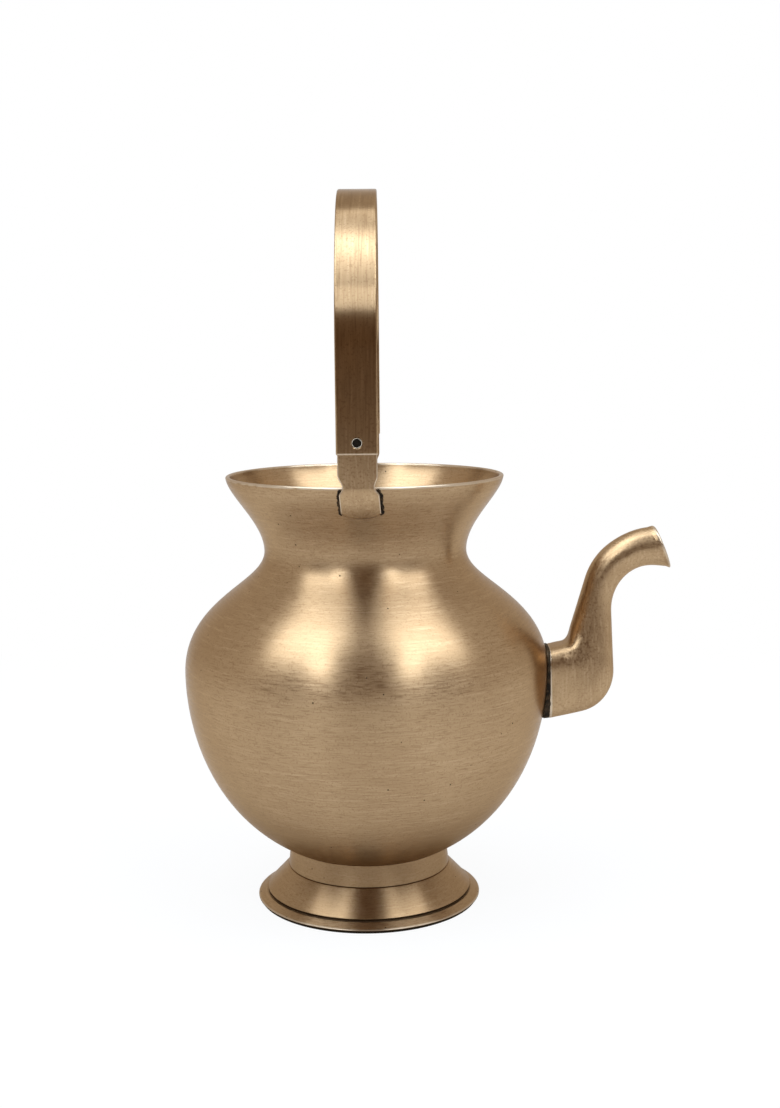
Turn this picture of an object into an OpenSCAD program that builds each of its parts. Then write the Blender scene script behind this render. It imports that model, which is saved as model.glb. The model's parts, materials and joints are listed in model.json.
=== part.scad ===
// Spouted ritual pot: a turned bronze bowl on a foot, a soldered spout and a riveted swing bail.
// Millimetres. The origin is the middle of the foot's underside, +Z is up and +X points at the spout.

/* [Foot] */
// Radius of the base ring where it meets the table
base_r = 41.4; // [39.5:0.1:46]
// Height of the base ring's upright edge
base_edge_h = 1.5; // [0.8:0.1:2.4]
// Width of the base ring that shows outside the groove
base_lip_w = 3; // [2.2:0.1:4.5]
// Width of the seat under the skirt
base_seat_w = 5; // [4:0.1:8]
// Height of the seat that the skirt stands on
seat_h = 3.2; // [2.6:0.1:3.8]
// Height of the dark groove above the seat
groove_h = 0.9; // [0.5:0.1:1.4]
// Depth of the dark groove
groove_d = 0.7; // [0.4:0.1:1]
// Height of the corner between skirt and collar
corner_h = 12.6; // [10.5:0.1:15]
// Radius of the collar at that corner
corner_r = 29.9; // [29.3:0.1:31.5]
// Height at which the collar meets the bowl
foot_h = 20.4; // [18:0.1:24]
// Outside radius of the collar where it meets the bowl
collar_r = 29.1; // [27:0.1:29.8]
// Wall of the foot
foot_wall = 2.2; // [1.6:0.1:3]
// Leg of the braze fillet under the bowl
foot_fillet = 2.6; // [1.5:0.1:4]

/* [Bowl] */
// Outside radius at the widest line
belly_r = 66.5; // [60:0.5:74]
// Rise from the collar to the widest line
belly_rise = 66.6; // [58:0.2:76]
// Rise from the widest line to the neck
shoulder_rise = 43.8; // [38:0.2:50]
// Outside radius of the neck
neck_r = 36.8; // [32:0.1:40]
// Rise from the neck to the rim
mouth_rise = 27.3; // [23:0.1:33]
// Outside radius of the rim
rim_r = 50.3; // [46:0.1:56]
// Wall of the bowl
wall = 1.6; // [1.2:0.1:2.4]
// Slope of the bowl where the collar holds it, in degrees
bowl_slope = 26.5; // [20:0.5:32]
// How far the bowl hangs down inside the collar
bowl_sag = 6.4; // [4:0.1:8]

/* [Spout] */
// How far the stub's middle lies below the bowl's widest line
spout_drop = 6; // [3:0.5:10]
// Least thickness of the solder between bowl and stub
solder_t = 1; // [0.5:0.1:2]
// How far the solder bead stands out round the stub
solder_bead = 0.4; // [0.2:0.1:0.8]
// Height of the stub at the solder
stub_h = 26.4; // [24:0.2:29]
// Width of the stub at the solder
stub_w = 20; // [16:0.2:24]
// Slope of the stub's top and underside, in degrees
stub_slope = 12; // [6:0.5:16]
// Run of the stub's flat top
stub_top_run = 4.5; // [3:0.1:6]
// Rise of the fillet from the stub's flat top to the riser's back
fillet_rise = 6.8; // [5:0.1:9]
// Run from the stub's end to the riser's outside
elbow_run = 23.5; // [22:0.1:28]
// Run of the rounded elbow
elbow_round_run = 11.7; // [9:0.1:14]
// Rise of the rounded elbow
elbow_round_rise = 15.4; // [12:0.1:18]
// Thickness of the riser at its foot
riser_foot_t = 15.7; // [14:0.1:18]
// Thickness of the riser under the crook
riser_top_t = 9.7; // [8.5:0.1:12]
// Height of the riser's outside above the stub's middle
riser_rise = 26; // [22:0.2:30]
// How much higher the riser's back reaches than its outside
riser_back_rise = 12.2; // [9:0.2:15]
// How far the riser's outside leans back at its top
riser_lean = 1; // [0:0.1:2]
// Width of the riser across
riser_w = 13; // [10:0.2:16]
// Run from the stub's end to the tip
tip_run = 43.8; // [40:0.2:52]
// Height of the lip's top above the stub's middle
tip_rise = 56.9; // [53:0.2:64]
// Length of the slanted lip
lip_len = 15.7; // [13:0.1:17]
// Tilt of the lip's face above level, in degrees
lip_tilt = 21.3; // [10:0.5:30]
// Dip of the tip below level, in degrees
tip_dip = 2; // [0:0.5:8]
// Flare of the lip on each side of the tip's heading, in degrees
lip_flare = 3; // [0:0.5:8]
// Width of the lip across
lip_w = 14.5; // [11:0.2:18]
// Run of the crook's back from its bend to the lip
crook_back_run = 16.7; // [14:0.2:19]
// Drop of the crook's back from the lip to its bend
crook_back_drop = 6.2; // [5:0.1:8]
// Run of the crook's underside from its bend to the lip
crook_under_run = 10.8; // [8:0.2:13]
// Slope of the crook's underside at its bend, in degrees
crook_under_slope = 18; // [10:1:26]
// Wall of the spout
spout_wall = 1.8; // [1.2:0.1:2.4]
// Diameter of the hole that opens the bowl into the spout
spout_hole_d = 12; // [8:0.5:14]

/* [Ears] */
// Thickness of each ear
ear_t = 2.5; // [1.6:0.1:3.5]
// Width of the ear beside the rivet
ear_w = 13.2; // [11:0.1:15]
// Width of the ear at its waist, level with the rim
waist_w = 10.7; // [8:0.1:10.8]
// Width of the bulb brazed to the mouth
bulb_w = 13.4; // [11.5:0.1:15]
// Height from the rim to the waist's shoulders
waist_rise = 4.2; // [3:0.1:6]
// Drop from the rim to the bulb's widest line
bulb_shoulder_drop = 2.7; // [2:0.1:4]
// Drop from the rim to the bulb's corners
bulb_corner_drop = 9; // [6.5:0.1:10]
// Bow of the bulb's lower edge
bulb_bow = 1.9; // [1:0.1:3]
// Sideways step from the rivet to the bulb's middle
bulb_step = 1; // [0:0.1:1.4]
// Film of braze between ear and mouth
braze_film = 0.15; // [0.1:0.05:0.4]
// Thickness of the braze beside the bulb
braze_t = 1.1; // [0.6:0.1:1.6]
// How far the braze runs out beside the bulb
braze_run = 1.2; // [0.6:0.1:2]

/* [Bail] */
// Sideways place of the bail's middle from the axis
bail_shift = -1.5; // [-3:0.1:3]
// Rise from the rim to the rivets
pivot_rise = 15; // [12:0.1:19]
// Length of the straight arms from the rivets to the arch
arm_len = 29.8; // [20:0.2:45]
// Length of the strap's ends past the rivets
strap_tail = 3.9; // [3:0.1:7]
// Width of the strap
strap_w = 13.8; // [11:0.1:16]
// Thickness of the strap
strap_t = 2.8; // [2:0.1:4]
// Bevel along the strap's edges
strap_bevel = 0.5; // [0.2:0.1:0.9]
// Gap between strap and ear
side_gap = 0.2; // [0.1:0.05:0.4]

/* [Rivets] */
// Diameter of the rivet's shank
rivet_d = 3.4; // [2.6:0.1:4.2]
// Radial play of the strap on the rivet
rivet_play = 0.08; // [0.02:0.01:0.1]
// Depth of the rivet's end below the strap's face
rivet_recess = 0.4; // [0.1:0.1:0.8]
// Diameter of the rivet's inner head
rivet_head_d = 6.4; // [5:0.1:8]
// Height of the rivet's inner head
rivet_head_h = 1.4; // [0.8:0.1:2]

/* [Hidden] */

bronze = "#a8865c";
dark_solder = "#3b3128";
dark_iron = "#4a4038";

// Heights above the table
belly_z = foot_h + belly_rise;
neck_z = belly_z + shoulder_rise;
rim_z = neck_z + mouth_rise;
pivot_z = rim_z + pivot_rise;
arch_z = pivot_z + arm_len;
spout_z = belly_z - spout_drop;

// Distances from the axis
stub_x = belly_r + solder_t;
ear_inner = rim_r + braze_film;
strap_inner = ear_inner + ear_t + side_gap;
groove_r = base_r - base_lip_w;

// Facets of round pieces, and steps of the curves
round_fn = 180;
small_fn = 48;
curve_steps = 14;
ear_steps = 8;
bulb_steps = 10;
spout_steps = 5;
spout_sides = 28;
arc_step_angle = 15;

// Headings, and the share of the mouth's curve that lies below the ear's strip
up_angle = 90;
level_angle = 0;
strip_start_ratio = 0.3;

// Fullness of the bowl's curves, as shares of each curve's chord
belly_low_ratio = 0.41;
belly_side_ratio = 0.3;
shoulder_ratio = 0.49;
neck_low_ratio = 0.24;
neck_high_ratio = 0.35;
rim_ratio = 0.21;
even_ratio = 0.36;

function heading(a) = [cos(a), sin(a)];

// Cubic curve from a to b that leaves a at heading ha and reaches b at heading hb
function limb(a, ha, b, hb, full_a, full_b) =
    let (chord = norm(b - a))
    [a, a + heading(ha) * chord * full_a, b - heading(hb) * chord * full_b, b];

function along(c, t) =
    c[0] * pow(1 - t, 3) + c[1] * 3 * t * pow(1 - t, 2) + c[2] * 3 * t * t * (1 - t) + c[3] * pow(t, 3);

function unit(v) = v / norm(v);

function travel(c, t) =
    unit((c[1] - c[0]) * pow(1 - t, 2) + (c[2] - c[1]) * 2 * t * (1 - t) + (c[3] - c[2]) * t * t);

// Point on a curve, moved off to its right-hand side, which is the bowl's outside
function beside(c, t, off) =
    let (d = travel(c, t))
    along(c, t) + [d[1], -d[0]] * off;

function curve(c, off, first, last, steps) =
    [for (i = [0:steps]) beside(c, first + (last - first) * i / steps, off)];

// The bowl's four outside curves, from the middle of its bottom to the rim
bowl_middle = [0, foot_h - bowl_sag];
bowl_seat = [collar_r, foot_h];
bowl_side = [belly_r, belly_z];
bowl_neck = [neck_r, neck_z];
bowl_rim = [rim_r, rim_z];
bowl_bottom = limb(bowl_middle, level_angle, bowl_seat, bowl_slope, even_ratio, even_ratio);
bowl_belly = limb(bowl_seat, bowl_slope, bowl_side, up_angle, belly_low_ratio, belly_side_ratio);
bowl_shoulder = limb(bowl_side, up_angle, bowl_neck, up_angle, shoulder_ratio, neck_low_ratio);
bowl_mouth = limb(bowl_neck, up_angle, bowl_rim, up_angle, neck_high_ratio, rim_ratio);
bowl_curves = [bowl_bottom, bowl_belly, bowl_shoulder, bowl_mouth];

function bowl_line(off) = [
    for (k = [0:len(bowl_curves) - 1])
        for (i = [k == 0 ? 0 : 1:curve_steps])
            beside(bowl_curves[k], i / curve_steps, off)
];

function reversed(list) = [for (i = [len(list) - 1:-1:0]) list[i]];

// Solid inside the bowl's outside, for fitting what is joined to it
module bowl_fill() {
    rotate_extrude($fn = round_fn)
        polygon(concat(bowl_line(0), [[0, rim_z]]));
}

module vessel_body() {
    color(bronze)
        difference() {
            rotate_extrude($fn = round_fn)
                polygon(concat(bowl_line(0), reversed(bowl_line(-wall))));
            translate([0, 0, spout_z])
                rotate([0, 90, 0])
                    cylinder(d = spout_hole_d, h = stub_x, $fn = small_fn);
        }
}

// Point of the line through p along d, at the given radius or height
function at_radius(p, d, r) = p + d * (r - p[0]) / d[0];
function at_height(p, d, z) = p + d * (z - p[1]) / d[1];

// Outline of the skirt and collar, which runs up into the bowl
module foot_outline() {
    corner = [corner_r, corner_h];
    edge = [groove_r - groove_h / 2, seat_h + groove_h];
    slope = unit(edge - corner);
    inside = corner + [slope[1], -slope[0]] * foot_wall;
    collar_in = collar_r - foot_wall;
    polygon([
        [collar_r, foot_h + foot_wall],
        [collar_r, foot_h],
        corner,
        edge,
        edge - [groove_d, 0],
        edge - [groove_d, groove_h],
        at_height(inside, slope, seat_h),
        at_radius(inside, slope, collar_in),
        [collar_in, foot_h + foot_wall]
    ]);
}

module foot_skirt() {
    color(bronze)
        difference() {
            rotate_extrude($fn = round_fn)
                foot_outline();
            bowl_fill();
        }
}

module base_ring() {
    ring_in = groove_r - base_seat_w;
    color(bronze)
        rotate_extrude($fn = round_fn)
            polygon([
                [ring_in, 0],
                [base_r, 0],
                [base_r, base_edge_h],
                [groove_r, seat_h],
                [ring_in, seat_h]
            ]);
}

module foot_braze_ring() {
    r = collar_r - foot_wall;
    z = foot_h - foot_wall * tan(bowl_slope);
    color(dark_solder)
        difference() {
            rotate_extrude($fn = round_fn)
                polygon([
                    [r - foot_fillet, z - foot_fillet / 2],
                    [r, z - foot_fillet],
                    [r, foot_h],
                    [r - foot_fillet, foot_h]
                ]);
            bowl_fill();
        }
}

// Heading of the straight line from p to q
function bearing(p, q) = atan2(q[1] - p[1], q[0] - p[0]);

// Places on the spout's side view, as [run from the stub's end, height from the stub's middle]
stub_top = [stub_top_run, stub_h / 2 + stub_top_run * tan(stub_slope)];
back_low = [elbow_run - riser_foot_t, stub_top[1] + fillet_rise];
back_high = [elbow_run - riser_lean - riser_top_t, riser_rise + riser_back_rise];
lip_top = [tip_run - lip_len * sin(lip_tilt), tip_rise];
back_bend = lip_top - [crook_back_run, crook_back_drop];
under_low = [elbow_run - elbow_round_run, (elbow_run - elbow_round_run) * tan(stub_slope) - stub_h / 2];
under_mid = [elbow_run, under_low[1] + elbow_round_rise];
under_high = [elbow_run - riser_lean, riser_rise];
lip_low = [tip_run, tip_rise - lip_len * cos(lip_tilt)];
under_bend = lip_low - [crook_under_run, 0];
back_slope = bearing(back_low, back_high);
under_slope = bearing(under_mid, under_high);

// The spout's two rails, as places with the heading of the rail there
spout_upper = [
    [[0, stub_h / 2], stub_slope],
    [stub_top, stub_slope],
    [back_low, back_slope],
    [back_high, back_slope],
    [back_bend, (back_slope + lip_flare - tip_dip) / 2],
    [lip_top, lip_flare - tip_dip]
];
spout_lower = [
    [[0, -stub_h / 2], stub_slope],
    [under_low, stub_slope],
    [under_mid, under_slope],
    [under_high, under_slope],
    [under_bend, crook_under_slope],
    [lip_low, -lip_flare - tip_dip]
];

// Width of the spout, and the power of its rounded box section, at each station
spout_widths = [stub_w, stub_w, (stub_w + riser_w) / 2, riser_w, riser_w, lip_w];
spout_section_power = [3.6, 3.8, 3.4, 2.7, 2.4, 2.2];
spout_spans = len(spout_upper) - 1;

// Share of the chord that bends a cubic most like an arc of the given turn
function arc_full(turn) = abs(turn) < 1 ? 1 / 3 : 2 / 3 * tan(turn / 4) / sin(turn / 2);

function rail(stations, s) =
    let (
        k = min(floor(s), spout_spans - 1),
        a = stations[k],
        b = stations[k + 1],
        full = arc_full(b[1] - a[1])
    )
    along(limb(a[0], a[1], b[0], b[1], full, full), s - k);

// Value between listed ones, with smooth joins
function eased(list, s) =
    let (
        k = min(floor(s), spout_spans - 1),
        t = s - k,
        a = list[k],
        b = list[k + 1],
        da = (b - list[max(k - 1, 0)]) / 2,
        db = (list[min(k + 2, spout_spans)] - a) / 2
    )
    a * (1 + 2 * t) * pow(1 - t, 2) + da * t * pow(1 - t, 2)
        + b * t * t * (3 - 2 * t) - db * t * t * (1 - t);

function rounded_power(v, e) = sign(v) * pow(abs(v), e);

// Rounded box section as [share across, share up]
function section(square) = [
    for (i = [0:spout_sides - 1])
        let (a = 360 * (i + 0.5) / spout_sides)
        [rounded_power(cos(a), 2 / square), rounded_power(sin(a), 2 / square)]
];

// Ring of points round the spout at place s, drawn in from its outside by inset
function spout_ring(s, inset) =
    let (
        top = rail(spout_upper, s),
        low = rail(spout_lower, s),
        mid = (top + low) / 2,
        half = (top - low) / 2,
        tall = half * (1 - inset / norm(half)),
        wide = eased(spout_widths, s) / 2 - inset
    )
    [
        for (p = section(eased(spout_section_power, s)))
            [stub_x + mid[0] + tall[0] * p[1], wide * p[0], spout_z + mid[1] + tall[1] * p[1]]
    ];

module spout() {
    rings = spout_spans * spout_steps + 1;
    n = spout_sides;
    outer = [for (i = [0:rings - 1]) each spout_ring(i / spout_steps, 0)];
    inner = [for (i = [0:rings - 1]) each spout_ring(i / spout_steps, spout_wall)];
    bore = rings * n;
    last = (rings - 1) * n;
    sides = [
        for (i = [0:rings - 2])
            for (j = [0:n - 1])
                let (a = i * n + j, b = i * n + (j + 1) % n)
                each [
                    [a, b, b + n], [a, b + n, a + n],
                    [bore + a, bore + b + n, bore + b], [bore + a, bore + a + n, bore + b + n]
                ]
    ];
    ends = [
        for (j = [0:n - 1])
            let (a = j, b = (j + 1) % n)
            each [
                [a, bore + a, bore + b], [a, bore + b, b],
                [last + a, last + b, bore + last + b], [last + a, bore + last + b, bore + last + a]
            ]
    ];
    color(bronze)
        polyhedron(concat(outer, inner), concat(sides, ends));
}

module stub_section(grow) {
    polygon([
        for (p = section(spout_section_power[0]))
            [(stub_w / 2 + grow) * p[0], (stub_h / 2 + grow) * p[1]]
    ]);
}

module spout_solder_seam() {
    color(dark_solder)
        difference() {
            translate([stub_x / 2, 0, spout_z])
                rotate([90, 0, 90])
                    linear_extrude(stub_x / 2)
                        difference() {
                            stub_section(solder_bead);
                            stub_section(-spout_wall);
                        }
            bowl_fill();
        }
}

// Half of the ear's outline below its waist's shoulders, as [out from the middle, height]
function ear_side(grow) =
    let (
        shoulder = [ear_w / 2, rim_z + waist_rise],
        waist = [waist_w / 2, rim_z],
        bulb = [bulb_w / 2, rim_z - bulb_shoulder_drop],
        corner = [bulb_w / 2, rim_z - bulb_corner_drop],
        tip = [0, rim_z - bulb_corner_drop - bulb_bow]
    )
    concat(
        curve(limb(shoulder, -up_angle, waist, -up_angle, even_ratio, even_ratio), 0, 0, 1, ear_steps),
        curve(limb(waist, -up_angle, bulb, -up_angle, even_ratio, even_ratio), -grow, 0, 1, ear_steps),
        curve(limb(corner, -up_angle, tip, -2 * up_angle, even_ratio, even_ratio), -grow, 0, 1, bulb_steps)
    );

// Ear seen from outside, with its lower part stepped sideways to the bulb
function stepped(p) =
    let (share = min(max((rim_z + waist_rise - p[1]) / (waist_rise + bulb_corner_drop), 0), 1))
    [p[0] + bulb_step * share, p[1]];

function mirrored(list) = [for (p = reversed(list)) [-p[0], p[1]]];

// The ear's bent strip seen from the side, as [distance from the axis, height]
function ear_strip(inner, outer, top) = concat(
    curve(bowl_mouth, inner, strip_start_ratio, 1, curve_steps),
    [[rim_r + inner, top], [rim_r + outer, top]],
    curve(bowl_mouth, outer, 1, strip_start_ratio, curve_steps)
);

// What the ear's front outline and its side view have in common, at the +Y side
module ear_between(outline, strip) {
    reach = rim_r * 2;
    intersection() {
        translate([bail_shift, reach, 0])
            rotate([90, 0, 0])
                linear_extrude(reach)
                    polygon(outline);
        translate([-reach / 2, 0, 0])
            rotate([90, 0, 90])
                linear_extrude(reach)
                    polygon(strip);
    }
}

module ear_plate() {
    side = ear_side(0);
    crown = [
        for (a = [0:arc_step_angle:180])
            [ear_w / 2 * cos(a), pivot_z + ear_w / 2 * sin(a)]
    ];
    outline = concat(
        reversed([for (p = side) stepped(p)]),
        crown,
        reversed([for (p = mirrored(side)) stepped(p)])
    );
    difference() {
        ear_between(outline, ear_strip(braze_film, braze_film + ear_t, pivot_z + ear_w));
        rivet_hole(rivet_d);
    }
}

module ear_braze() {
    side = [for (p = ear_side(braze_run)) if (p[1] <= rim_z) p];
    outline = concat(
        reversed([for (p = side) stepped(p)]),
        reversed([for (p = mirrored(side)) stepped(p)])
    );
    difference() {
        ear_between(outline, ear_strip(-braze_t, braze_t, rim_z));
        bowl_fill();
        ear_plate();
    }
}

module rivet_hole(d) {
    translate([bail_shift, 0, pivot_z])
        rotate([-90, 0, 0])
            cylinder(d = d, h = rim_r * 2, $fn = small_fn);
}

module rear_ear() {
    color(bronze)
        ear_plate();
}

module front_ear() {
    color(bronze)
        mirror([0, 1, 0])
            ear_plate();
}

module rear_ear_braze() {
    color(dark_solder)
        ear_braze();
}

module front_ear_braze() {
    color(dark_solder)
        mirror([0, 1, 0])
            ear_braze();
}

// Strap section as [out from its inner face, across]
module strap_section() {
    half = strap_w / 2;
    polygon([
        [strap_bevel, -half],
        [strap_t - strap_bevel, -half],
        [strap_t, strap_bevel - half],
        [strap_t, half - strap_bevel],
        [strap_t - strap_bevel, half],
        [strap_bevel, half],
        [0, half - strap_bevel],
        [0, strap_bevel - half]
    ]);
}

module bail_handle() {
    color(bronze)
        difference() {
            translate([bail_shift, 0, 0]) {
                translate([0, 0, arch_z])
                    rotate([90, 0, 90])
                        rotate_extrude(angle = 180, $fn = round_fn)
                            translate([strap_inner, 0])
                                strap_section();
                for (side = [-1, 1])
                    translate([0, 0, arch_z])
                        mirror([0, 0, 1])
                            rotate([0, 0, side * 90])
                                linear_extrude(arm_len + strap_tail)
                                    translate([strap_inner, 0])
                                        strap_section();
            }
            rivet_hole(rivet_d + 2 * rivet_play);
            mirror([0, 1, 0])
                rivet_hole(rivet_d + 2 * rivet_play);
        }
}

module rivet() {
    shank = ear_t + side_gap + strap_t - rivet_recess;
    translate([bail_shift, ear_inner, pivot_z])
        rotate([-90, 0, 0])
            rotate_extrude($fn = small_fn)
                polygon(concat(
                    [for (a = [0:arc_step_angle:90]) [rivet_head_d / 2 * sin(a), -rivet_head_h * cos(a)]],
                    [[rivet_d / 2, 0], [rivet_d / 2, shank], [0, shank]]
                ));
}

module rear_rivet() {
    color(dark_iron)
        rivet();
}

module front_rivet() {
    color(dark_iron)
        mirror([0, 1, 0])
            rivet();
}

vessel_body();
foot_skirt();
base_ring();
foot_braze_ring();
spout();
spout_solder_seam();
front_ear();
rear_ear();
front_ear_braze();
rear_ear_braze();
bail_handle();
front_rivet();
rear_rivet();
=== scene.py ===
"""Bronze pouring pot with a soldered spout and a riveted swing bail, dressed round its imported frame.

Metres. The origin is the middle of the foot's underside, +Z is up and +X points at the spout.
"""
import json
import math
from contextlib import contextmanager

import bmesh
import bpy
from bpy.props import FloatProperty, FloatVectorProperty, IntProperty, PointerProperty
from bpy.types import Operator, Panel, PropertyGroup
from mathutils import Matrix, Vector


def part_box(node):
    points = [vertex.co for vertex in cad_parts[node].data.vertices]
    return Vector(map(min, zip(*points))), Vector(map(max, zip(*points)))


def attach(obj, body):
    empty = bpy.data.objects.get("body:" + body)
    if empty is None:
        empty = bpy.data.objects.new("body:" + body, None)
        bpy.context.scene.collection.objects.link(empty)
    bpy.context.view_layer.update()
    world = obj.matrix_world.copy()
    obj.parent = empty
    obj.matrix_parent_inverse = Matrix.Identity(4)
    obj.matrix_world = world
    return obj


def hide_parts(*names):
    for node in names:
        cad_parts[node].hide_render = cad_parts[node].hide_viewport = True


bl_info = {
    "name": "Spouted Pot",
    "version": (1, 0, 0),
    "blender": (4, 5, 0),
    "location": "3D View > Sidebar > Pot",
    "description": "Builds a bronze pouring pot with a spout and a swing bail round its packed frame",
    "category": "Object",
}

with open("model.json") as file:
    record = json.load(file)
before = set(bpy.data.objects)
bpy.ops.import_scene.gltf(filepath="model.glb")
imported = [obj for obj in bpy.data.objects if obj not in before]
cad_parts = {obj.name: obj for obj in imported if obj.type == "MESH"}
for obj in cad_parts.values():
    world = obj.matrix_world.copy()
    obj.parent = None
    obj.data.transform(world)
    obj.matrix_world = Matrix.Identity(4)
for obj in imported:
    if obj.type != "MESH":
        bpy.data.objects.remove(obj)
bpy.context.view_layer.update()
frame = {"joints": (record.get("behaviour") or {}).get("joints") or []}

MM = 0.001
UP = math.pi / 2
BOWL_LOW, BOWL_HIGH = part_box("vessel_body")
RING_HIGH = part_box("base_ring")[1]
SPOUT_LOW, SPOUT_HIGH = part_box("spout")
BAIL_LOW, BAIL_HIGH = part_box("bail_handle")
RIVET_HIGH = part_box("rear_rivet")[1]
PIVOT = Vector(frame["joints"][0]["pos_m"])
IMAGE_LONG_SIDE = 1108

# How far each bowl curve holds its heading at its two ends, as shares of its chord
EVEN_PULL = 0.36
BOWL_PULLS = [(EVEN_PULL, EVEN_PULL), (0.41, 0.3), (0.49, 0.24), (0.35, 0.21)]
BOWL_STEPS = 40
ROUND_STEPS = 4
HALVINGS = 40
# Most of a corner's two sides that its rounding may take
ROUND_SHARE = 0.45
# Power of the spout's rounded box section at each station
SPOUT_POWERS = [3.8, 3.8, 2.4, 2.0, 2.0, 2.1]
SPOUT_STEPS = 14
SPOUT_SIDES = 56
# Turn between two stations below which the spout counts as straight
STRAIGHT_TURN = 0.01
# How much shorter the spout is than its solid, so that its turned lip stays inside the part's box
TIP_SHORT = 0.1 * MM
# Facets round a hole, a bore for a rivet, a rivet, a bead and the hidden braze
HOLE_SIDES = 48
BORE_SIDES = 40
RIVET_SIDES = 48
BEAD_SIDES = 14
BRAZE_SIDES = 96
# Level cuts through an ear, at which it bends to the mouth
EAR_CUTS = 26
BEVEL_STEPS = 3
# Lumps in a metre of solder, and in a metre of braze
SOLDER_GRAIN = 1100.0
BRAZE_GRAIN = 750.0
# Points closer than this are one point
WELD = 0.001 * MM
# Slack in telling a bevel from the flat beside it
SLACK = 0.01 * MM

WHITE = (1, 1, 1)
# Bronze stays a little brown even where it is seen along its surface
EDGE_TINT = (0.8, 0.7, 0.6, 1)
# Values of a noise between its dark and its pale parts
NOISE_SPAN = (0.3, 0.7)
# Darkening levels: painted shade at its full darker tone, the darkest painted shade and dirt, and the
# level at each place between them
SHADE_TONE = 0.5
DARKEST = 1.0
BOWL_SHADE = 0.8 * SHADE_TONE
SKIRT_SHADE = SHADE_TONE / 3
RING_SHADE = SHADE_TONE / 4
GROOVE_DIRT_AND_SHADE = 0.85 * DARKEST
CREASE_SHADE = 0.7 * DARKEST
# Half of the turn, from the front, over which the crease in the foot's corner is painted at its darkest,
# as shade
CREASE_REACH = math.radians(39)
# Where the dark room turns pale, by a direction's parts: to the sides, off the front and to the back
SIDE_SPAN = (0.2, 0.5)
FRONT_SPAN = (-0.7, -0.1)
BACK_SPAN = (0.05, 0.6)


def length(name, default, about):
    """Property for a size in metres."""
    return FloatProperty(name=name, description=about, default=default, unit="LENGTH", precision=5)


def angle(name, degrees, about):
    """Property for an angle, given here in degrees."""
    return FloatProperty(name=name, description=about, default=math.radians(degrees), subtype="ANGLE")


def share(name, default, about):
    """Property for a plain number, mostly below one."""
    return FloatProperty(
        name=name, description=about, default=default, min=0, soft_max=1, subtype="FACTOR")


def watts(name, default, about):
    """Property for a lamp's power."""
    return FloatProperty(name=name, description=about, default=default, min=0, unit="POWER")


def position(name, default, about):
    """Property for a place."""
    return FloatVectorProperty(name=name, description=about, default=default, unit="LENGTH")


def colour(name, default, about):
    """Property for a colour."""
    return FloatVectorProperty(
        name=name, description=about, default=default, subtype="COLOR", min=0, max=1)


class PotBowl(PropertyGroup):
    """Sizes of the turned bowl."""
    middle_z: length("Bottom height", BOWL_LOW.z, "Height of the bowl's lowest point")
    seat_r: length("Collar radius", 29.1 * MM, "Outside radius where the collar meets the bowl")
    seat_z: length("Collar height", 20.4 * MM, "Height at which the collar meets the bowl")
    slope: angle("Seat slope", 26.5, "Slope of the bowl where the collar holds it")
    belly_r: length("Belly radius", BOWL_HIGH.y, "Outside radius at the widest line")
    belly_z: length("Belly height", 87.0 * MM, "Height of the widest line")
    neck_r: length("Neck radius", 36.8 * MM, "Outside radius of the neck")
    neck_z: length("Neck height", 130.8 * MM, "Height of the neck")
    rim_r: length("Rim radius", 50.3 * MM, "Outside radius of the rim")
    rim_z: length("Rim height", BOWL_HIGH.z, "Height of the rim")
    wall: length("Wall", 1.6 * MM, "Wall of the bowl")
    lip_round: length("Lip rounding", 0.6 * MM, "Radius of the rim's two edges")
    hole_d: length("Spout hole", 12 * MM, "Diameter of the hole that opens the bowl into the spout")
    segments: IntProperty(
        name="Segments", description="Facets round a turned piece", default=192, min=24)
    # Height over which painted shade darkens the bowl above the foot
    shade_h: length("Toned height", 30 * MM, "How far the bowl is toned above the foot")


class PotFoot(PropertyGroup):
    """Sizes of the skirt and the base ring."""
    base_r: length("Base radius", RING_HIGH.y, "Radius of the base ring where it meets the table")
    edge_h: length("Edge height", 1.5 * MM, "Height of the base ring's upright edge")
    undercut: length("Undercut", 0.8 * MM, "How far the base ring's edge is cut back at the table")
    lip_w: length("Base lip", 3 * MM, "Width of the base ring that shows outside the groove")
    seat_w: length("Seat width", 5 * MM, "Width of the seat under the skirt")
    seat_h: length("Seat height", RING_HIGH.z, "Height of the seat that the skirt stands on")
    groove_h: length("Groove height", 0.9 * MM, "Height of the dark groove above the seat")
    groove_d: length("Groove depth", 0.7 * MM, "Depth of the dark groove")
    corner_h: length("Corner height", 12.6 * MM, "Height of the corner between skirt and collar")
    corner_r: length("Corner radius", 29.9 * MM, "Radius of the collar at that corner")
    wall: length("Foot wall", 2.2 * MM, "Wall of the foot")
    fillet: length("Braze leg", 2.6 * MM, "Leg of the braze fillet under the bowl")
    edge_round: length("Edge rounding", 0.35 * MM, "Radius of the foot's worn edges")
    crease: length("Crease", 0.3 * MM, "Size of the tool mark in the corner")


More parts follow.
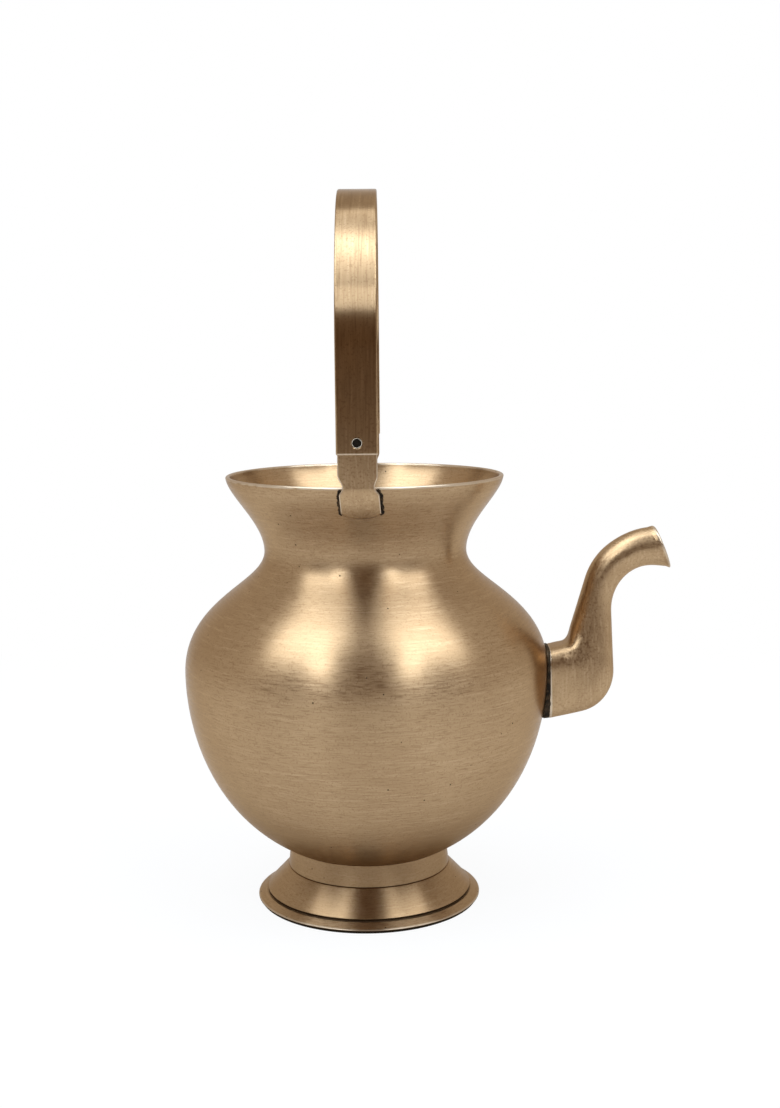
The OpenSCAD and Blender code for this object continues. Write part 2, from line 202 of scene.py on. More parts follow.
class PotSpout(PropertyGroup):
    """Sizes of the cast spout and its solder."""
    stub_x: length("Stub end", SPOUT_LOW.x, "Distance of the stub's flat end from the axis")
    middle_z: length("Stub height", 81.0 * MM, "Height of the stub's middle")
    stub_h: length("Stub depth", 26.4 * MM, "Height of the stub at the solder")
    stub_w: length("Stub width", 20 * MM, "Width of the stub at the solder")
    stub_reach: length("Stub reach", 0.65 * MM, "How far the stub's end reaches into the solder")
    solder_lap: length("Solder lap", 0.1 * MM, "How far the solder runs in under the stub's end")
    stub_slope: angle("Stub slope", 12, "Slope of the stub's top and underside")
    stub_top_run: length("Stub top", 4.5 * MM, "Run of the stub's flat top")
    fillet_rise: length("Fillet rise", 6.8 * MM, "Rise from the stub's flat top to the riser's back")
    elbow_run: length("Elbow run", 23.5 * MM, "Run from the stub's end to the riser's outside")
    elbow_round_run: length("Elbow round run", 11.7 * MM, "Run of the rounded elbow")
    elbow_round_rise: length("Elbow round rise", 15.4 * MM, "Rise of the rounded elbow")
    riser_foot_t: length("Riser foot", 15.7 * MM, "Thickness of the riser at its foot")
    riser_top_t: length("Riser top", 9.7 * MM, "Thickness of the riser under the crook")
    riser_rise: length("Riser rise", 26 * MM, "Height of the riser's outside above the stub's middle")
    riser_back_rise: length("Riser back", 12.2 * MM, "How much higher the riser's back reaches")
    riser_lean: length("Riser lean", 1 * MM, "How far the riser's outside leans back at its top")
    riser_w: length("Riser width", 13 * MM, "Width of the riser across")
    tip_run: length(
        "Tip run", SPOUT_HIGH.x - SPOUT_LOW.x - TIP_SHORT, "Run from the stub's end to the tip")
    tip_rise: length("Tip rise", 56.9 * MM, "Height of the lip's top above the stub's middle")
    lip_len: length("Lip length", 15.7 * MM, "Length of the slanted lip")
    lip_tilt: angle("Lip tilt", 21.3, "Tilt of the lip's face")
    tip_dip: angle("Tip dip", 2, "Dip of the tip below level")
    lip_flare: angle("Lip flare", 3, "Flare of the lip on each side of the tip's heading")
    lip_w: length("Lip width", 14.5 * MM, "Width of the lip across")
    lip_edge: length("Lip edge", 0.3 * MM, "Bevel of the spout's two ends")
    lip_turn: length("Lip turn", 0.4 * MM, "How far the lip turns out at its edge")
    lip_turn_len: length("Lip turn length", 1.5 * MM, "Length over which the lip turns out")
    crook_back_run: length("Crook back run", 16.7 * MM, "Run of the crook's back to the lip")
    crook_back_drop: length("Crook back drop", 6.2 * MM, "Drop of the crook's back from the lip")
    crook_under_run: length("Crook under run", 10.8 * MM, "Run of the crook's underside to the lip")
    crook_under_slope: angle("Crook slope", 18, "Slope of the crook's underside at its bend")
    wall: length("Spout wall", 1.8 * MM, "Wall of the spout")
    solder_bead: length("Solder bead", 0.05 * MM, "How far the solder stands out round the stub")
    solder_rough: length("Solder roughness", 0.8 * MM, "Height of the solder's lumps")


class PotEars(PropertyGroup):
    """Sizes of the ears and their braze."""
    film: length("Braze film", 0.15 * MM, "Film of braze between ear and mouth")
    thick: length("Ear thickness", 2.5 * MM, "Thickness of each ear")
    width: length("Ear width", 13.2 * MM, "Width of the ear beside the rivet")
    waist_w: length("Waist width", 10.7 * MM, "Width of the ear at its waist, level with the rim")
    bulb_w: length("Bulb width", 13.4 * MM, "Width of the bulb brazed to the mouth")
    waist_rise: length("Waist rise", 4.2 * MM, "Height from the rim to the waist's shoulders")
    bulb_drop: length("Bulb drop", 2.7 * MM, "Drop from the rim to the bulb's widest line")
    corner_drop: length("Corner drop", 9 * MM, "Drop from the rim to the bulb's corners")
    bow: length("Bulb bow", 1.9 * MM, "Bow of the bulb's lower edge")
    step: length("Bulb step", 1 * MM, "Sideways step from the rivet to the bulb's middle")
    bevel: length("Ear bevel", 0.45 * MM, "Bevel round the ear's face")
    bead_r: length("Braze bead", 0.85 * MM, "Radius of the braze bead beside the bulb")
    bead_start: length("Bead start", 0.9 * MM, "Drop from the rim to the bead's upper end")
    bead_past: length("Bead past", 0.2 * MM, "How far the bead runs past the bulb's corners")
    bead_out: length("Bead out", 0.1 * MM, "How far the bead's middle lies outside the bulb")
    bead_rough: length("Bead roughness", 2 * MM, "Height of the braze's lumps")


class PotBail(PropertyGroup):
    """Sizes of the bail's strap and its rivets."""
    strap_t: length("Strap thickness", 2.8 * MM, "Thickness of the strap")
    strap_round: length("Strap edge", 0.65 * MM, "Radius along the strap's edges")
    end_round: length("Strap end", 0.3 * MM, "Bevel of the strap's cut ends")
    rivet_d: length("Rivet diameter", 3.4 * MM, "Diameter of the rivet's shank")
    rivet_play: length("Rivet play", 0.08 * MM, "Radial play of the strap on the rivet")
    sink: length("Hole edge", 0.22 * MM, "Countersink of the strap's holes")
    head_d: length("Rivet head", 6.4 * MM, "Diameter of the rivet's inner head")
    head_h: length("Rivet head height", 1.4 * MM, "Height of the rivet's inner head")
    rivet_ring: length("Rivet ring", 0.22 * MM, "Width of the ring where the rivet's end was spread")
    rivet_dish: length("Rivet dish", 0.3 * MM, "Depth of the dish inside that ring")
    rivet_edge: length("Rivet edge", 0.1 * MM, "Radius of that ring's edges")


class PotFinish(PropertyGroup):
    """Colours and gloss of the metals."""
    bronze: colour("Bronze", (0.4, 0.258, 0.136), "Satin bronze, as most of it looks")
    bronze_pale: colour("Pale bronze", (0.46, 0.305, 0.168), "Bronze on the freshly brushed streaks")
    bronze_dark: colour("Dark bronze", (0.27, 0.16, 0.08), "Bronze where it has toned")
    # Painted shade: the darker tone that the bowl, the skirt and the ring take on towards the foot
    darkened: colour("Toned bronze", (0.17, 0.085, 0.03), "Bronze beside the foot, where no brush reached")
    # Dirt in pits and the groove, and painted shade in the groove, the crease and the base ring's lower
    # edge
    dirt_and_shade: colour("Grime", (0.03, 0.02, 0.012), "Dirt in grooves and pits")
    solder: colour("Solder", (0.02, 0.016, 0.012), "Dark uneven solder")
    rivet: colour("Rivet", (0.02, 0.016, 0.012), "Blackened rivet end")
    # Pale metal on rubbed edges, partly real wear and partly a painted edge highlight
    rubbed_and_highlit: colour("Rubbed edge", (0.8, 0.7, 0.56), "Metal where an edge is rubbed bright")
    floor: colour("Floor", (0.7, 0.7, 0.7), "Pale floor")
    # Strength of that pale colour on rubbed edges, partly a painted highlight
    wear_and_highlight: share("Wear", 0.35, "How far a worn edge is rubbed bright")
    turned_rough: share("Turned roughness", 0.36, "Roughness of the turned pieces")
    strap_rough: share("Strap roughness", 0.33, "Roughness of the strap")
    cast_rough: share("Cast roughness", 0.34, "Roughness of the spout and ears")
    turned_brush: share("Turned brush", 0.83, "How far brushing stretches the turned pieces' highlights")
    strap_brush: share("Strap brush", 1.0, "How far brushing stretches a highlight of the strap")


class PotStage(PropertyGroup):
    """Camera, lights and floor."""
    camera: position("Camera", (0.00895, -0.54326, 0.20654), "Place of the camera")
    pitch: angle("Pitch", 8.153, "How far the camera looks down")
    roll: angle("Roll", -0.506, "How far the camera is turned about its own line of sight")
    focal: FloatProperty(
        name="Focal length", description="In pixels of the photograph", default=1501.3, subtype="PIXEL")
    lamp_aim: position("Lamp aim", (0, 0, 0.1), "Point that every lamp faces")
    lamp_colour: colour("Lamp colour", (0.7, 0.84, 1.0), "Colour of the lamps")
    box_place: position("Softbox", (0.84, -0.41, 1.64), "Middle of the right softbox")
    box_wide: length("Softbox width", 1.1, "Width of the two softboxes beside the camera")
    box_tall: length("Softbox height", 1.25, "Height of the two softboxes beside the camera")
    box_turn: angle("Softbox turn", 12, "How far the tops of the softboxes lean apart")
    box_power: watts("Softbox power", 28, "Watts of each softbox")
    fill_place: position("Fill", (0.78, -1.31, 1.24), "Middle of the right fill lamp")
    fill_wide: length("Fill width", 0.42, "Width of the two fill lamps under the softboxes")
    fill_tall: length("Fill height", 0.5, "Height of the two fill lamps under the softboxes")
    fill_power: watts("Fill power", 8, "Watts of each fill lamp")
    top_place: position("Top lamp", (0, 0.1, 1.1), "Middle of the lamp above")
    top_wide: length("Top width", 0.5, "Width of the lamp above")
    top_long: length("Top length", 0.62, "Length of the lamp above")
    top_power: watts("Top power", 3, "Watts of the lamp above")
    room_dark: colour("Dark room", (0.175, 0.108, 0.06), "Room in front of the pot and above it")
    room_pale: colour("Pale room", (0.78, 0.78, 0.78), "Room beside and behind the pot")
    floor_side: length("Floor side", 1.5, "Reach of the floor to each side")
    floor_near: length("Floor near", 1.4, "Reach of the floor to the front")
    floor_far: length("Floor far", 1.8, "Reach of the floor to the back")
    shadow_reach: length("Shadow reach", 0.5, "Distance at which the floor's shadow has faded out")
    floor_white: share("White floor", 0.92, "How white the camera sees the floor, whatever falls on it")
    floor_mirrored: share("Mirrored floor", 0.3, "How white the metal mirrors the floor")


def heading(direction):
    """Unit step along an angle."""
    return Vector((math.cos(direction), math.sin(direction)))


def limb(a, ha, b, hb, pull_a, pull_b):
    """Cubic curve from a to b that leaves a at heading ha and reaches b at heading hb."""
    a, b = Vector(a), Vector(b)
    chord = (b - a).length
    return a, a + heading(ha) * chord * pull_a, b - heading(hb) * chord * pull_b, b


def along(curve, t):
    """Point of a cubic curve."""
    a, b, c, d = curve
    u = 1 - t
    return a * u ** 3 + b * 3 * t * u * u + c * 3 * t * t * u + d * t ** 3


def beside(curve, t, off):
    """Point of a cubic curve, moved off to its right-hand side, which is the bowl's outside."""
    a, b, c, d = curve
    u = 1 - t
    way = ((b - a) * u * u + (c - b) * 2 * t * u + (d - c) * t * t).normalized()
    return along(curve, t) + Vector((way.y, -way.x)) * off


def sampled(curve, off, steps):
    """Points along a curve, moved off to its side."""
    return [beside(curve, i / steps, off) for i in range(steps + 1)]


def arc(centre, radius, first, last, steps=6):
    """Points of a round corner."""
    turns = [first + (last - first) * i / steps for i in range(steps + 1)]
    return [Vector(centre) + heading(turn) * radius for turn in turns]


def bowl_curves(bowl):
    """The bowl's outside as four curves, from the middle of its bottom to the rim."""
    stops = [
        ((0, bowl.middle_z), 0),
        ((bowl.seat_r, bowl.seat_z), bowl.slope),
        ((bowl.belly_r, bowl.belly_z), UP),
        ((bowl.neck_r, bowl.neck_z), UP),
        ((bowl.rim_r, bowl.rim_z), UP),
    ]
    return [limb(*a, *b, *pulls) for a, b, pulls in zip(stops, stops[1:], BOWL_PULLS)]


def halved(rises):
    """Where rises, which grows between 0 and 1, passes zero."""
    low, high = 0.0, 1.0
    for _ in range(HALVINGS):
        middle = (low + high) / 2
        low, high = (middle, high) if rises(middle) < 0 else (low, middle)
    return low


def radius_at(curves, z, off=0.0):
    """Radius of the bowl's outside, moved off, at a height."""
    for curve in curves:
        if beside(curve, 1, off).y >= z:
            return beside(curve, halved(lambda t: beside(curve, t, off).y - z), off).x
    return beside(curves[-1], 1, off).x


def height_at(curve, r):
    """Height of a curve whose radius grows, at a radius."""
    return along(curve, halved(lambda t: along(curve, t).x - r)).y


def rounded(corners, closed=True):
    """Outline through corners given as (x, z, radius), with each corner rounded."""
    points = []
    last = len(corners) - 1
    for i, (x, z, radius) in enumerate(corners):
        here = Vector((x, z))
        if radius == 0 or (not closed and i in (0, last)):
            points.append(here)
            continue
        back = Vector(corners[i - 1][:2]) - here
        on = Vector(corners[(i + 1) % len(corners)][:2]) - here
        cut = radius / math.tan(back.angle(on) / 2)
        cut = min(cut, back.length * ROUND_SHARE, on.length * ROUND_SHARE)
        start, end = here + back.normalized() * cut, here + on.normalized() * cut
        for k in range(ROUND_STEPS + 1):
            t = k / ROUND_STEPS
            points.append(start * (1 - t) ** 2 + here * 2 * t * (1 - t) + end * t * t)
    if closed:
        points.append(points[0])
    return points


def add(tree, kind, inputs=None, **settings):
    """New node with its settings, and with each input linked or set."""
    node = tree.nodes.new(kind)
    for name, value in settings.items():
        setattr(node, name, value)
    for name, value in (inputs or {}).items():
        if isinstance(value, bpy.types.NodeSocket):
            tree.links.new(value, node.inputs[name])
        else:
            node.inputs[name].default_value = value
    return node


def math_node(tree, operation, *values):
    """Result of a sum on numbers or sockets."""
    return add(tree, "ShaderNodeMath", dict(enumerate(values)), operation=operation).outputs[0]


def vector_node(tree, operation, *values, out=0):
    """Result of a sum on vectors or sockets."""
    return add(tree, "ShaderNodeVectorMath", dict(enumerate(values)), operation=operation).outputs[out]


def new_tree(name, inputs):
    """Geometry tree with named inputs, given as (name, socket type), and a material input."""
    tree = bpy.data.node_groups.new(name, "GeometryNodeTree")
    sockets = [("Geometry", "NodeSocketGeometry"), *inputs, ("Material", "NodeSocketMaterial")]
    for label, kind in sockets:
        tree.interface.new_socket(label, in_out="INPUT", socket_type=kind)
    tree.interface.new_socket("Geometry", in_out="OUTPUT", socket_type="NodeSocketGeometry")
    return tree, tree.nodes.new("NodeGroupInput").outputs


def close_tree(tree, given, geometry):
    """End a tree in plain geometry that carries the piece's material."""
    smooth = add(tree, "GeometryNodeSetShadeSmooth", {"Geometry": geometry})
    real = add(tree, "GeometryNodeRealizeInstances", {"Geometry": smooth.outputs[0]})
    painted = add(tree, "GeometryNodeSetMaterial", {
        "Geometry": real.outputs[0], "Material": given["Material"]})
    end = tree.nodes.new("NodeGroupOutput")
    tree.links.new(painted.outputs[0], end.inputs[0])
    return tree


def turned_tree():
    """Spins a line of points, given as radius in X and height in Z, round the Z axis."""
    tree, given = new_tree("Turned piece", [("Segments", "NodeSocketInt")])
    profile, segments = given["Geometry"], given["Segments"]
    rows = add(tree, "GeometryNodeAttributeDomainSize", {"Geometry": profile}).outputs["Point Count"]
    columns = add(tree, "FunctionNodeIntegerMath", {0: segments, 1: 1}).outputs[0]
    grid = add(tree, "GeometryNodeMeshGrid", {"Vertices X": columns, "Vertices Y": rows})
    index = add(tree, "GeometryNodeInputIndex").outputs[0]
    row, column = (
        add(tree, "FunctionNodeIntegerMath", {0: index, 1: rows}, operation=operation).outputs[0]
        for operation in ("MODULO", "DIVIDE_FLOOR")
    )
    place = add(tree, "GeometryNodeInputPosition").outputs[0]
    sample = add(tree, "GeometryNodeSampleIndex", {
        "Geometry": profile, "Value": place, "Index": row}, data_type="FLOAT_VECTOR")
    turn = math_node(tree, "DIVIDE", math_node(tree, "MULTIPLY", column, math.tau), segments)
    spun = add(tree, "ShaderNodeVectorRotate", {
        "Vector": sample.outputs[0], "Angle": turn}, rotation_type="Z_AXIS")
    placed = add(tree, "GeometryNodeSetPosition", {
        "Geometry": grid.outputs["Mesh"], "Position": spun.outputs[0]})
    closed = add(tree, "GeometryNodeMergeByDistance", {
        "Geometry": placed.outputs[0], "Distance": WELD})
    return close_tree(tree, given, closed.outputs[0])


def strap_tree():
    """Sweeps a flat strap with rounded edges along a line of points in the YZ plane."""
    sizes = [(name, "NodeSocketFloat") for name in ("Width", "Thickness", "Edge radius")]
    tree, given = new_tree("Strap along a path", sizes)
    path = add(tree, "GeometryNodeMeshToCurve", {"Mesh": given["Geometry"]})
    facing = add(tree, "GeometryNodeSetCurveNormal", {
        "Curve": path.outputs[0], "Normal": (1, 0, 0)}, mode="FREE")
    flat = add(tree, "GeometryNodeCurvePrimitiveQuadrilateral", {
        "Width": given["Width"], "Height": given["Thickness"]})
    soft = add(tree, "GeometryNodeFilletCurve", {
        "Curve": flat.outputs[0], "Count": ROUND_STEPS, "Radius": given["Edge radius"]}, mode="POLY")
    swept = add(tree, "GeometryNodeCurveToMesh", {
        "Curve": facing.outputs[0], "Profile Curve": soft.outputs[0], "Fill Caps": True})
    return close_tree(tree, given, swept.outputs[0])


def lumps(tree, geometry, height, grain):
    """Geometry pushed in and out along its normals by a fixed noise."""
    noise = add(tree, "ShaderNodeTexNoise", {"Scale": grain, "Detail": 3.0})
    swing = math_node(tree, "MULTIPLY", math_node(tree, "SUBTRACT", noise.outputs["Fac"], 0.5), height)
    normal = add(tree, "GeometryNodeInputNormal").outputs[0]
    push = add(tree, "ShaderNodeVectorMath", {0: normal, "Scale": swing}, operation="SCALE")
    return add(tree, "GeometryNodeSetPosition", {
        "Geometry": geometry, "Offset": push.outputs[0]}).outputs[0]


def lumpy_tree():
    """Roughens a run of solder."""
    tree, given = new_tree("Lumpy solder", [("Height", "NodeSocketFloat"), ("Grain", "NodeSocketFloat")])
    return close_tree(tree, given, lumps(tree, given["Geometry"], given["Height"], given["Grain"]))


def bead_tree():
    """Runs a rough bead of braze along a line of points."""
    sizes = [(name, "NodeSocketFloat") for name in ("Radius", "Height", "Grain")]
    tree, given = new_tree("Bead along a path", sizes)
    path = add(tree, "GeometryNodeMeshToCurve", {"Mesh": given["Geometry"]})
    ring = add(tree, "GeometryNodeCurvePrimitiveCircle", {
        "Resolution": BEAD_SIDES, "Radius": given["Radius"]})
    bead = add(tree, "GeometryNodeCurveToMesh", {
        "Curve": path.outputs[0], "Profile Curve": ring.outputs[0], "Fill Caps": True})
    return close_tree(tree, given, lumps(tree, bead.outputs[0], given["Height"], given["Grain"]))


def rivet_tree():
    """Sets a rivet that points along +Z through each of two ears that face each other along Y."""
    sizes = [("Hinge", "NodeSocketVector"), ("Reach", "NodeSocketFloat")]
    tree, given = new_tree("Rivet in each ear", sizes)
    reach = add(tree, "ShaderNodeCombineXYZ", {"Y": given["Reach"]}).outputs[0]
    line = add(tree, "GeometryNodeMeshLine", {
        "Count": 2,
        "Start Location": vector_node(tree, "SUBTRACT", given["Hinge"], reach),
        "Offset": vector_node(tree, "ADD", reach, reach),
    })
    index = add(tree, "GeometryNodeInputIndex").outputs[0]
    lean = math_node(tree, "SUBTRACT", UP, math_node(tree, "MULTIPLY", index, math.pi))
    turn = add(tree, "ShaderNodeCombineXYZ", {"X": lean}).outputs[0]
    placed = add(tree, "GeometryNodeInstanceOnPoints", {
        "Points": line.outputs[0], "Instance": given["Geometry"], "Rotation": turn})
    return close_tree(tree, given, placed.outputs[0])


def new_object(name, points, edges=(), faces=()):
    """Object at the origin with a mesh of its own."""
    mesh = bpy.data.meshes.new(name)
    mesh.from_pydata([tuple(p) for p in points], list(edges), list(faces))
    mesh.update()
    piece = bpy.data.objects.new(name, mesh)
    bpy.context.scene.collection.objects.link(piece)
    return piece


def loop_faces(rings, sides):
    """Faces of a shell whose rings close on themselves, first to last."""
    faces = []
    for i in range(rings):
        here, on = i * sides, (i + 1) % rings * sides
        for j in range(sides):
            k = (j + 1) % sides
            faces.append((here + j, here + k, on + k, on + j))
    return faces


def settle(piece):
    """Turn what a piece's modifiers make into its plain mesh."""
    graph = bpy.context.evaluated_depsgraph_get()
    made = bpy.data.meshes.new_from_object(
        piece.evaluated_get(graph), preserve_all_data_layers=True, depsgraph=graph)
    old = piece.data
    piece.modifiers.clear()
    piece.data = made
    bpy.data.meshes.remove(old)
    made.name = piece.name
    return piece


def run_tree(piece, tree, material, values):
    """Run a geometry tree on a piece, with its inputs set by their identifiers."""
    modifier = piece.modifiers.new(tree.name, "NODES")
    modifier.node_group = tree
    values = {**values, "Material": material}
    for item in tree.interface.items_tree:
        if item.in_out == "INPUT" and item.name in values:
            modifier[item.identifier] = values[item.name]
    return settle(piece)


def turned(name, profile, segments, material):
    """Piece turned from a profile of (radius, height) points."""
    piece = new_object(name, [(p[0], 0, p[1]) for p in profile])
    tree = bpy.data.node_groups.get("Turned piece") or turned_tree()
    return run_tree(piece, tree, material, {"Segments": segments})


@contextmanager
def opened(piece):
    """A piece's mesh open for edits, and written back at the end."""
    made = bmesh.new()
    made.from_mesh(piece.data)
    yield made
    made.to_mesh(piece.data)
    made.free()


def drill(piece, cutter):
    """Cut one piece's shape out of another, and use the cutter up."""
    modifier = piece.modifiers.new("Drill", "BOOLEAN")
    modifier.operation = "DIFFERENCE"
    modifier.solver = "EXACT"
    modifier.object = cutter
    settle(piece)
    bpy.data.objects.remove(cutter)
    with opened(piece) as made:
        bmesh.ops.remove_doubles(made, verts=made.verts, dist=WELD)


def rivet_cutter(start, side, radius, sink, material):
    """Tool that bores a rivet hole outwards along Y, with a countersink at the strap's face."""
    face = BAIL_HIGH.y - start
    end = face + sink
    profile = [(0, 0), (radius, 0), (radius, face - sink), (radius + 2 * sink, end), (0, end)]
    cutter = turned("rivet_cutter", profile, BORE_SIDES, material)
    lie = Matrix.Rotation(-side * UP, 4, "X")
    cutter.data.transform(Matrix.Translation((PIVOT.x, side * start, PIVOT.z)) @ lie)
    return cutter


def bevel(made, faces, size):
    """Bevel an open mesh round some of its faces."""
    edges = list(dict.fromkeys(edge for face in faces for edge in face.edges))
    bmesh.ops.bevel(made, geom=edges, offset=size, segments=BEVEL_STEPS, profile=0.5, affect="EDGES")


def even_normals(piece, sharp=40):
    """Shade a piece smooth, but crisp at its sharp edges and flat on its flat faces."""
    with opened(piece) as made:
        for edge in made.edges:
            edge.smooth = len(edge.link_faces) == 2 and edge.calc_face_angle(0) < math.radians(sharp)
        for face in made.faces:
            face.smooth = True
    modifier = piece.modifiers.new("Even normals", "WEIGHTED_NORMAL")
    modifier.keep_sharp = True
    return settle(piece)


def mark(piece, name, rule):
    """Store a value at each point, from its radius, its height and its turn from the front."""
    layer = piece.data.attributes.new(name, "FLOAT", "POINT")
    for vertex, value in zip(piece.data.vertices, layer.data):
        x, y, z = vertex.co
        value.value = rule(math.hypot(x, y), z, math.atan2(x, -y))


def fit(scene, piece, slot, body, *nodes):
    """Give a piece its finish, its body and the nodes that it stands for."""
    piece.data.materials.clear()
    piece.data.materials.append(finish_of(scene, slot))
    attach(piece, body)
    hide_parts(*nodes)


def emptied(block):
    """Node tree of a material or a world, with nothing in it."""
    block.use_nodes = True
    block.node_tree.nodes.clear()
    return block.node_tree


def new_material(name):
    """Material with one metal shader."""
    material = bpy.data.materials.new(name)
    tree = emptied(material)
    shader = add(tree, "ShaderNodeBsdfPrincipled", {"Metallic": 1.0, "Specular Tint": EDGE_TINT})
    add(tree, "ShaderNodeOutputMaterial", {"Surface": shader.outputs[0]})
    return material, tree, shader


def mixed(tree, factor, a, b):
    """Colour between a and b, which are inputs 6 and 7 of a Mix node for colours."""
    a, b = (c if isinstance(c, bpy.types.NodeSocket) else (*c, 1) for c in (a, b))
    return add(tree, "ShaderNodeMix", {0: factor, 6: a, 7: b}, data_type="RGBA").outputs[2]


def ranged(tree, value, low, high, to_low=0.0, to_high=1.0):
    """Value carried from one range to another, with soft ends."""
    node = add(tree, "ShaderNodeMapRange", {
        0: value, 1: low, 2: high, 3: to_low, 4: to_high}, interpolation_type="SMOOTHSTEP")
    return node.outputs[0]


def layered(tree, tone, *layers):
    """Tone under layers of (pattern, where it starts, where it is full, its share, its colour)."""
    for pattern, start, full, most, hue in layers:
        tone = mixed(tree, ranged(tree, pattern, start, full, 0.0, most), tone, hue)
    return tone


def gloss(tree, pattern, smooth, dull):
    """Roughness that follows a pattern."""
    return ranged(tree, pattern, *NOISE_SPAN, smooth, dull)


def object_place(tree):
    """Object coordinates."""
    return add(tree, "ShaderNodeTexCoord").outputs["Object"]


def own_mark(tree, name):
    """Value that mark has stored on a piece."""
    return add(tree, "ShaderNodeAttribute", attribute_name=name).outputs["Fac"]


def noise_at(tree, vector, per_metre, detail=3.0, w=None):
    """Noise at a vector, in four dimensions where w is given."""
    node = add(tree, "ShaderNodeTexNoise", {"Vector": vector, "Scale": per_metre, "Detail": detail})
    if w is not None:
        node.noise_dimensions = "4D"
        tree.links.new(w, node.inputs["W"])
    return node.outputs["Fac"]


def straight_marks(tree, place, per_metre):
    """Marks counted in a metre along X, Y and Z, so that few along an axis are long ones."""
    return noise_at(tree, vector_node(tree, "MULTIPLY", place, per_metre), 1.0)


def turned_marks(tree, place, per_turn, per_metre):
    """Marks that run round the Z axis, counted round a turn and in a metre across it."""
    flat = vector_node(tree, "MULTIPLY", place, (1, 1, 0))
    radius = vector_node(tree, "LENGTH", flat, out=1)
    way = vector_node(tree, "MULTIPLY", vector_node(tree, "NORMALIZE", flat), (per_turn, per_turn, 0))
    rise = vector_node(tree, "MULTIPLY", place, (0, 0, per_metre))
    w = math_node(tree, "MULTIPLY", radius, per_metre)
    return noise_at(tree, vector_node(tree, "ADD", way, rise), 1.0, w=w)


def pits(tree, place, per_metre, size, most):
    """Mask of small casting pits, with their size as a share of the way from one to the next."""
    spots = add(tree, "ShaderNodeTexVoronoi", {"Vector": place, "Scale": per_metre})
    return ranged(tree, spots.outputs["Distance"], size, size * 0.55, 0.0, most)


def worn_and_highlit_edges(tree, tone, finish):
    """Tone made brighter where a piece's own marks say that an edge is worn: partly real wear, partly a
    painted edge highlight.
    """
    worn_and_highlit = math_node(tree, "MULTIPLY", own_mark(tree, "worn_and_highlit"), finish.wear_and_highlight)
    return mixed(tree, worn_and_highlit, tone, finish.rubbed_and_highlit)


def brush(tree, shader, axis, stretch):
    """Stretch a shader's highlights across brush marks that run round an axis."""
    tangent = add(tree, "ShaderNodeTangent", direction_type="RADIAL", axis=axis)
    tree.links.new(tangent.outputs[0], shader.inputs["Tangent"])
    shader.inputs["Anisotropic"].default_value = stretch
    shader.inputs["Anisotropic Rotation"].default_value = 0.25


def dress(tree, shader, tone, rough, height, strength, depth):
    """Link a finish's colour, roughness and relief to its shader."""
    relief = add(tree, "ShaderNodeBump", {"Height": height, "Strength": strength, "Distance": depth})
    for name, value in (("Base Color", tone), ("Roughness", rough), ("Normal", relief.outputs[0])):
        tree.links.new(value, shader.inputs[name])


def turned_bronze(scene):
    """Satin bronze brushed round the axis on a lathe."""
    finish = scene.pot_finish
    material, tree, shader = new_material("turned_bronze_finish")
    place = object_place(tree)
    coarse = turned_marks(tree, place, per_turn=4.0, per_metre=1300.0)
    fine = turned_marks(tree, place, per_turn=18.0, per_metre=2400.0)
    speck = noise_at(tree, place, per_metre=1500.0)
    cloud = noise_at(tree, place, per_metre=26.0)
    pit = pits(tree, place, per_metre=165.0, size=0.06, most=0.85)
    dirt_and_shade = own_mark(tree, "dirt_and_shade")
    tone = layered(
        tree, finish.bronze,
        (cloud, 0.35, 0.7, 0.3, finish.bronze_dark),
        (coarse, 0.45, 0.75, 0.8, finish.bronze_pale),
        (fine, 0.55, 0.25, 0.8, finish.bronze_dark),
        (speck, 0.5, 0.25, 0.7, finish.bronze_dark),
    )
    tone = worn_and_highlit_edges(tree, tone, finish)
    # Painted shade: the colour darkens towards the foot, and the groove, the crease and the ring's lower
    # edge go darker still; pits are dirt
    tone = mixed(tree, ranged(tree, dirt_and_shade, 0.0, SHADE_TONE), tone, finish.darkened)
    darkening = math_node(tree, "MAXIMUM", pit, ranged(tree, dirt_and_shade, SHADE_TONE, DARKEST))
    tone = mixed(tree, darkening, tone, finish.dirt_and_shade)
    clean = gloss(tree, fine, finish.turned_rough - 0.05, finish.turned_rough + 0.05)
    darkening_rough, pit_depth, coarse_share = 0.35, -3.0, 0.5
    rough = math_node(tree, "MULTIPLY_ADD", darkening, darkening_rough, clean)
    marks = math_node(tree, "MULTIPLY_ADD", coarse, coarse_share, fine)
    height = math_node(tree, "MULTIPLY_ADD", pit, pit_depth, marks)
    dress(tree, shader, tone, rough, height, strength=0.14, depth=0.05 * MM)
    brush(tree, shader, "Z", finish.turned_brush)
    return material


def strap_bronze(scene):
    """Satin bronze brushed along the strap."""
    finish = scene.pot_finish
    material, tree, shader = new_material("strap_bronze_finish")
    place = object_place(tree)
    lines = straight_marks(tree, place, per_metre=(1500, 70, 70))
    speck = noise_at(tree, place, per_metre=1300.0)
    cloud = noise_at(tree, place, per_metre=70.0, detail=4.0)
    tone = layered(
        tree, finish.bronze,
        (cloud, 0.4, 0.7, 0.5, finish.bronze_dark),
        (lines, 0.5, 0.75, 0.9, finish.bronze_pale),
        (lines, 0.5, 0.25, 0.9, finish.bronze_dark),
        (speck, 0.5, 0.25, 0.8, finish.bronze_dark),
    )
    tone = worn_and_highlit_edges(tree, tone, finish)
    rough = gloss(tree, cloud, finish.strap_rough - 0.03, finish.strap_rough + 0.03)
    dress(tree, shader, tone, rough, lines, strength=0.08, depth=0.05 * MM)
    brush(tree, shader, "X", finish.strap_brush)
    return material


